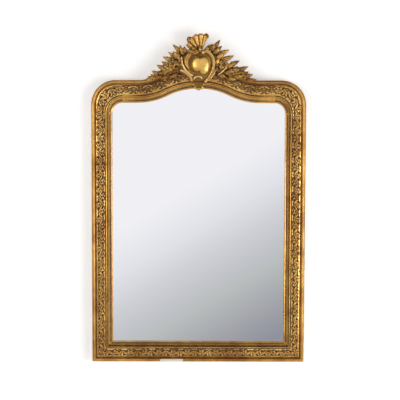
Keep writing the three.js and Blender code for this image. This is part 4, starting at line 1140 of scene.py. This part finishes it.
def spray_leaf(base, tip, width, order):
    """A pointed leaf of the spray. Leaves lie in three layers and lean forward by turns."""
    layer = order % 3
    reach_out = math.dist(base, tip)
    start_y = STEM_Y - 2 * layer
    tip_y = start_y - 1 - 3 * ((order * 2) % 3)
    return bent_leaf(base, tip, (start_y, start_y - 5 - reach_out * 0.05, tip_y), width * 1.15,
                     lift=2, lobes=4 if reach_out > 40 else 3, notch=0.14, thick=4.2)


def small_leaves(side, tops):
    """Rows of small leaves over the bed, pointing up and out, each turned from the last."""
    leaves = []
    for row, share in enumerate(SMALL_ROWS):
        for k, x in enumerate(np.arange(tops[0][0] + 12 + 6 * row, tops[-1][0] - 14, SMALL_STEP)):
            low, high = bed_between(x, tops)
            z = low + (high - low) * share
            turn = math.radians(22 + 26 * math.sin(2.4 * k + 1.7 * row) + 14 * (share - 0.5))
            base = (side * (x - 12), z - 6)
            tip = (base[0] + side * SMALL_LEAF * math.cos(turn),
                   base[1] + SMALL_LEAF * math.sin(turn))
            depths = (-68, -76 - 2 * ((k + row) % 2), -71)
            leaves.append(bent_leaf(base, tip, depths, SMALL_WIDTH, lobes=3, notch=0.12,
                                    thick=3.4))
    return leaves


for name, leaves in SPRAYS.items():
    side = 1 if name.endswith("right") else -1
    parts = [bed_form(side, SPRAY_BEDS[name])] + small_leaves(side, SPRAY_BEDS[name])
    parts += [spray_leaf(row[:2], row[2:4], row[4], order) for order, row in enumerate(leaves)]
    for x, z, radius in BUDS[name]:
        parts += bud(x, z, radius, STEM_Y - 14)
    finish_carving(name, join(parts), carved_dull)
stem = scroll([(92, -46), (106, -38), (122, -24), (138, -9)], [3, 3.6, 3.4, 2.6], back=-80,
              rise=10, flute=0)
finish_carving("spray_right_stem", stem, highlit_scroll_gold, "spray_right")


# ---- Cresting: roses ----
# Open roses among the leaves: two rings of cupped petals round a tight heart.
ROSES = {"rose_left": (-127, 4, 20), "rose_right": (121, 1, 26)}
ROSE_RINGS = [(5, 0.34, 1.0, 0.84, 0.0), (5, 0.16, 0.7, 0.66, 0.63), (3, 0.04, 0.4, 0.46, 0.2)]


def rose(x, z, radius):
    petals = []
    for level_up, (count, start, end, width, turned) in enumerate(ROSE_RINGS):
        spots = [(start, 3, 0), ((start + end) / 2, -2.5, 0.05), (end, -1, 0.12)]
        petals += [petal(x, STEM_Y - 9 - 3 * level_up, z, radius,
                         turned + 2 * math.pi * k / count, spots, width, lift=1.5, thick=3.0,
                         tuck=-0.1, fullness=1.25) for k in range(count)]
    return join(petals + bud(x, z, radius * 0.2, STEM_Y - 19))


for name, (x, z, radius) in ROSES.items():
    finish_carving(name, rose(x, z, radius), carved_gold)


# ---- Dirt, painted shade and rubbing on the carving ----
# Each point looks out into the open, and the more the carving closes it in, the darker it is
# painted: dirt that a duster can't reach, and painted shade where the carving shuts out the light.
# What stands proud of its surroundings is rubbed.
LOOKS = 11
LOOK_FAR = 26
LOOK_LIFT = 0.4
LOOK_TURN = 2.399963
OPEN_SHARE = 0.18
GRIME_AND_SHADE_SPREAD = 0.6
RUB_SHARE = 0.22
RUB_MOST = 0.6

ways = []
for k in range(LOOKS):
    height = 1 - (k + 0.5) / LOOKS
    ring = math.sqrt(1 - height * height)
    ways.append((ring * math.cos(k * LOOK_TURN), ring * math.sin(k * LOOK_TURN), height))
ways = np.array(ways)
carving = bmesh.new()
for piece in crest_pieces:
    carving.from_mesh(piece.data)
carving.from_mesh(nodes["cartouche_ground"].data)
tree_of_faces = BVHTree.FromBMesh(carving)
carving.free()
for piece in crest_pieces:
    closed_in = []
    for vert in piece.data.vertices:
        normal = vert.normal
        side_way = normal.orthogonal()
        basis = np.array([side_way.normalized(), normal.cross(side_way).normalized(), normal])
        start = vert.co + normal * LOOK_LIFT * MM
        hits = [tree_of_faces.ray_cast(start, Vector(look), LOOK_FAR * MM)[0] is not None
                for look in ways @ basis]
        closed_in.append(sum(hits) / LOOKS)
    closed_in = np.array(closed_in)
    # Closed-in points are painted darker: dirt, and painted shade where the carving shuts out the
    # light.
    mark(piece, "grime_and_shade", (closed_in - OPEN_SHARE) / GRIME_AND_SHADE_SPREAD)
    mark(piece, "worn", RUB_MOST * (1 - closed_in / RUB_SHARE))
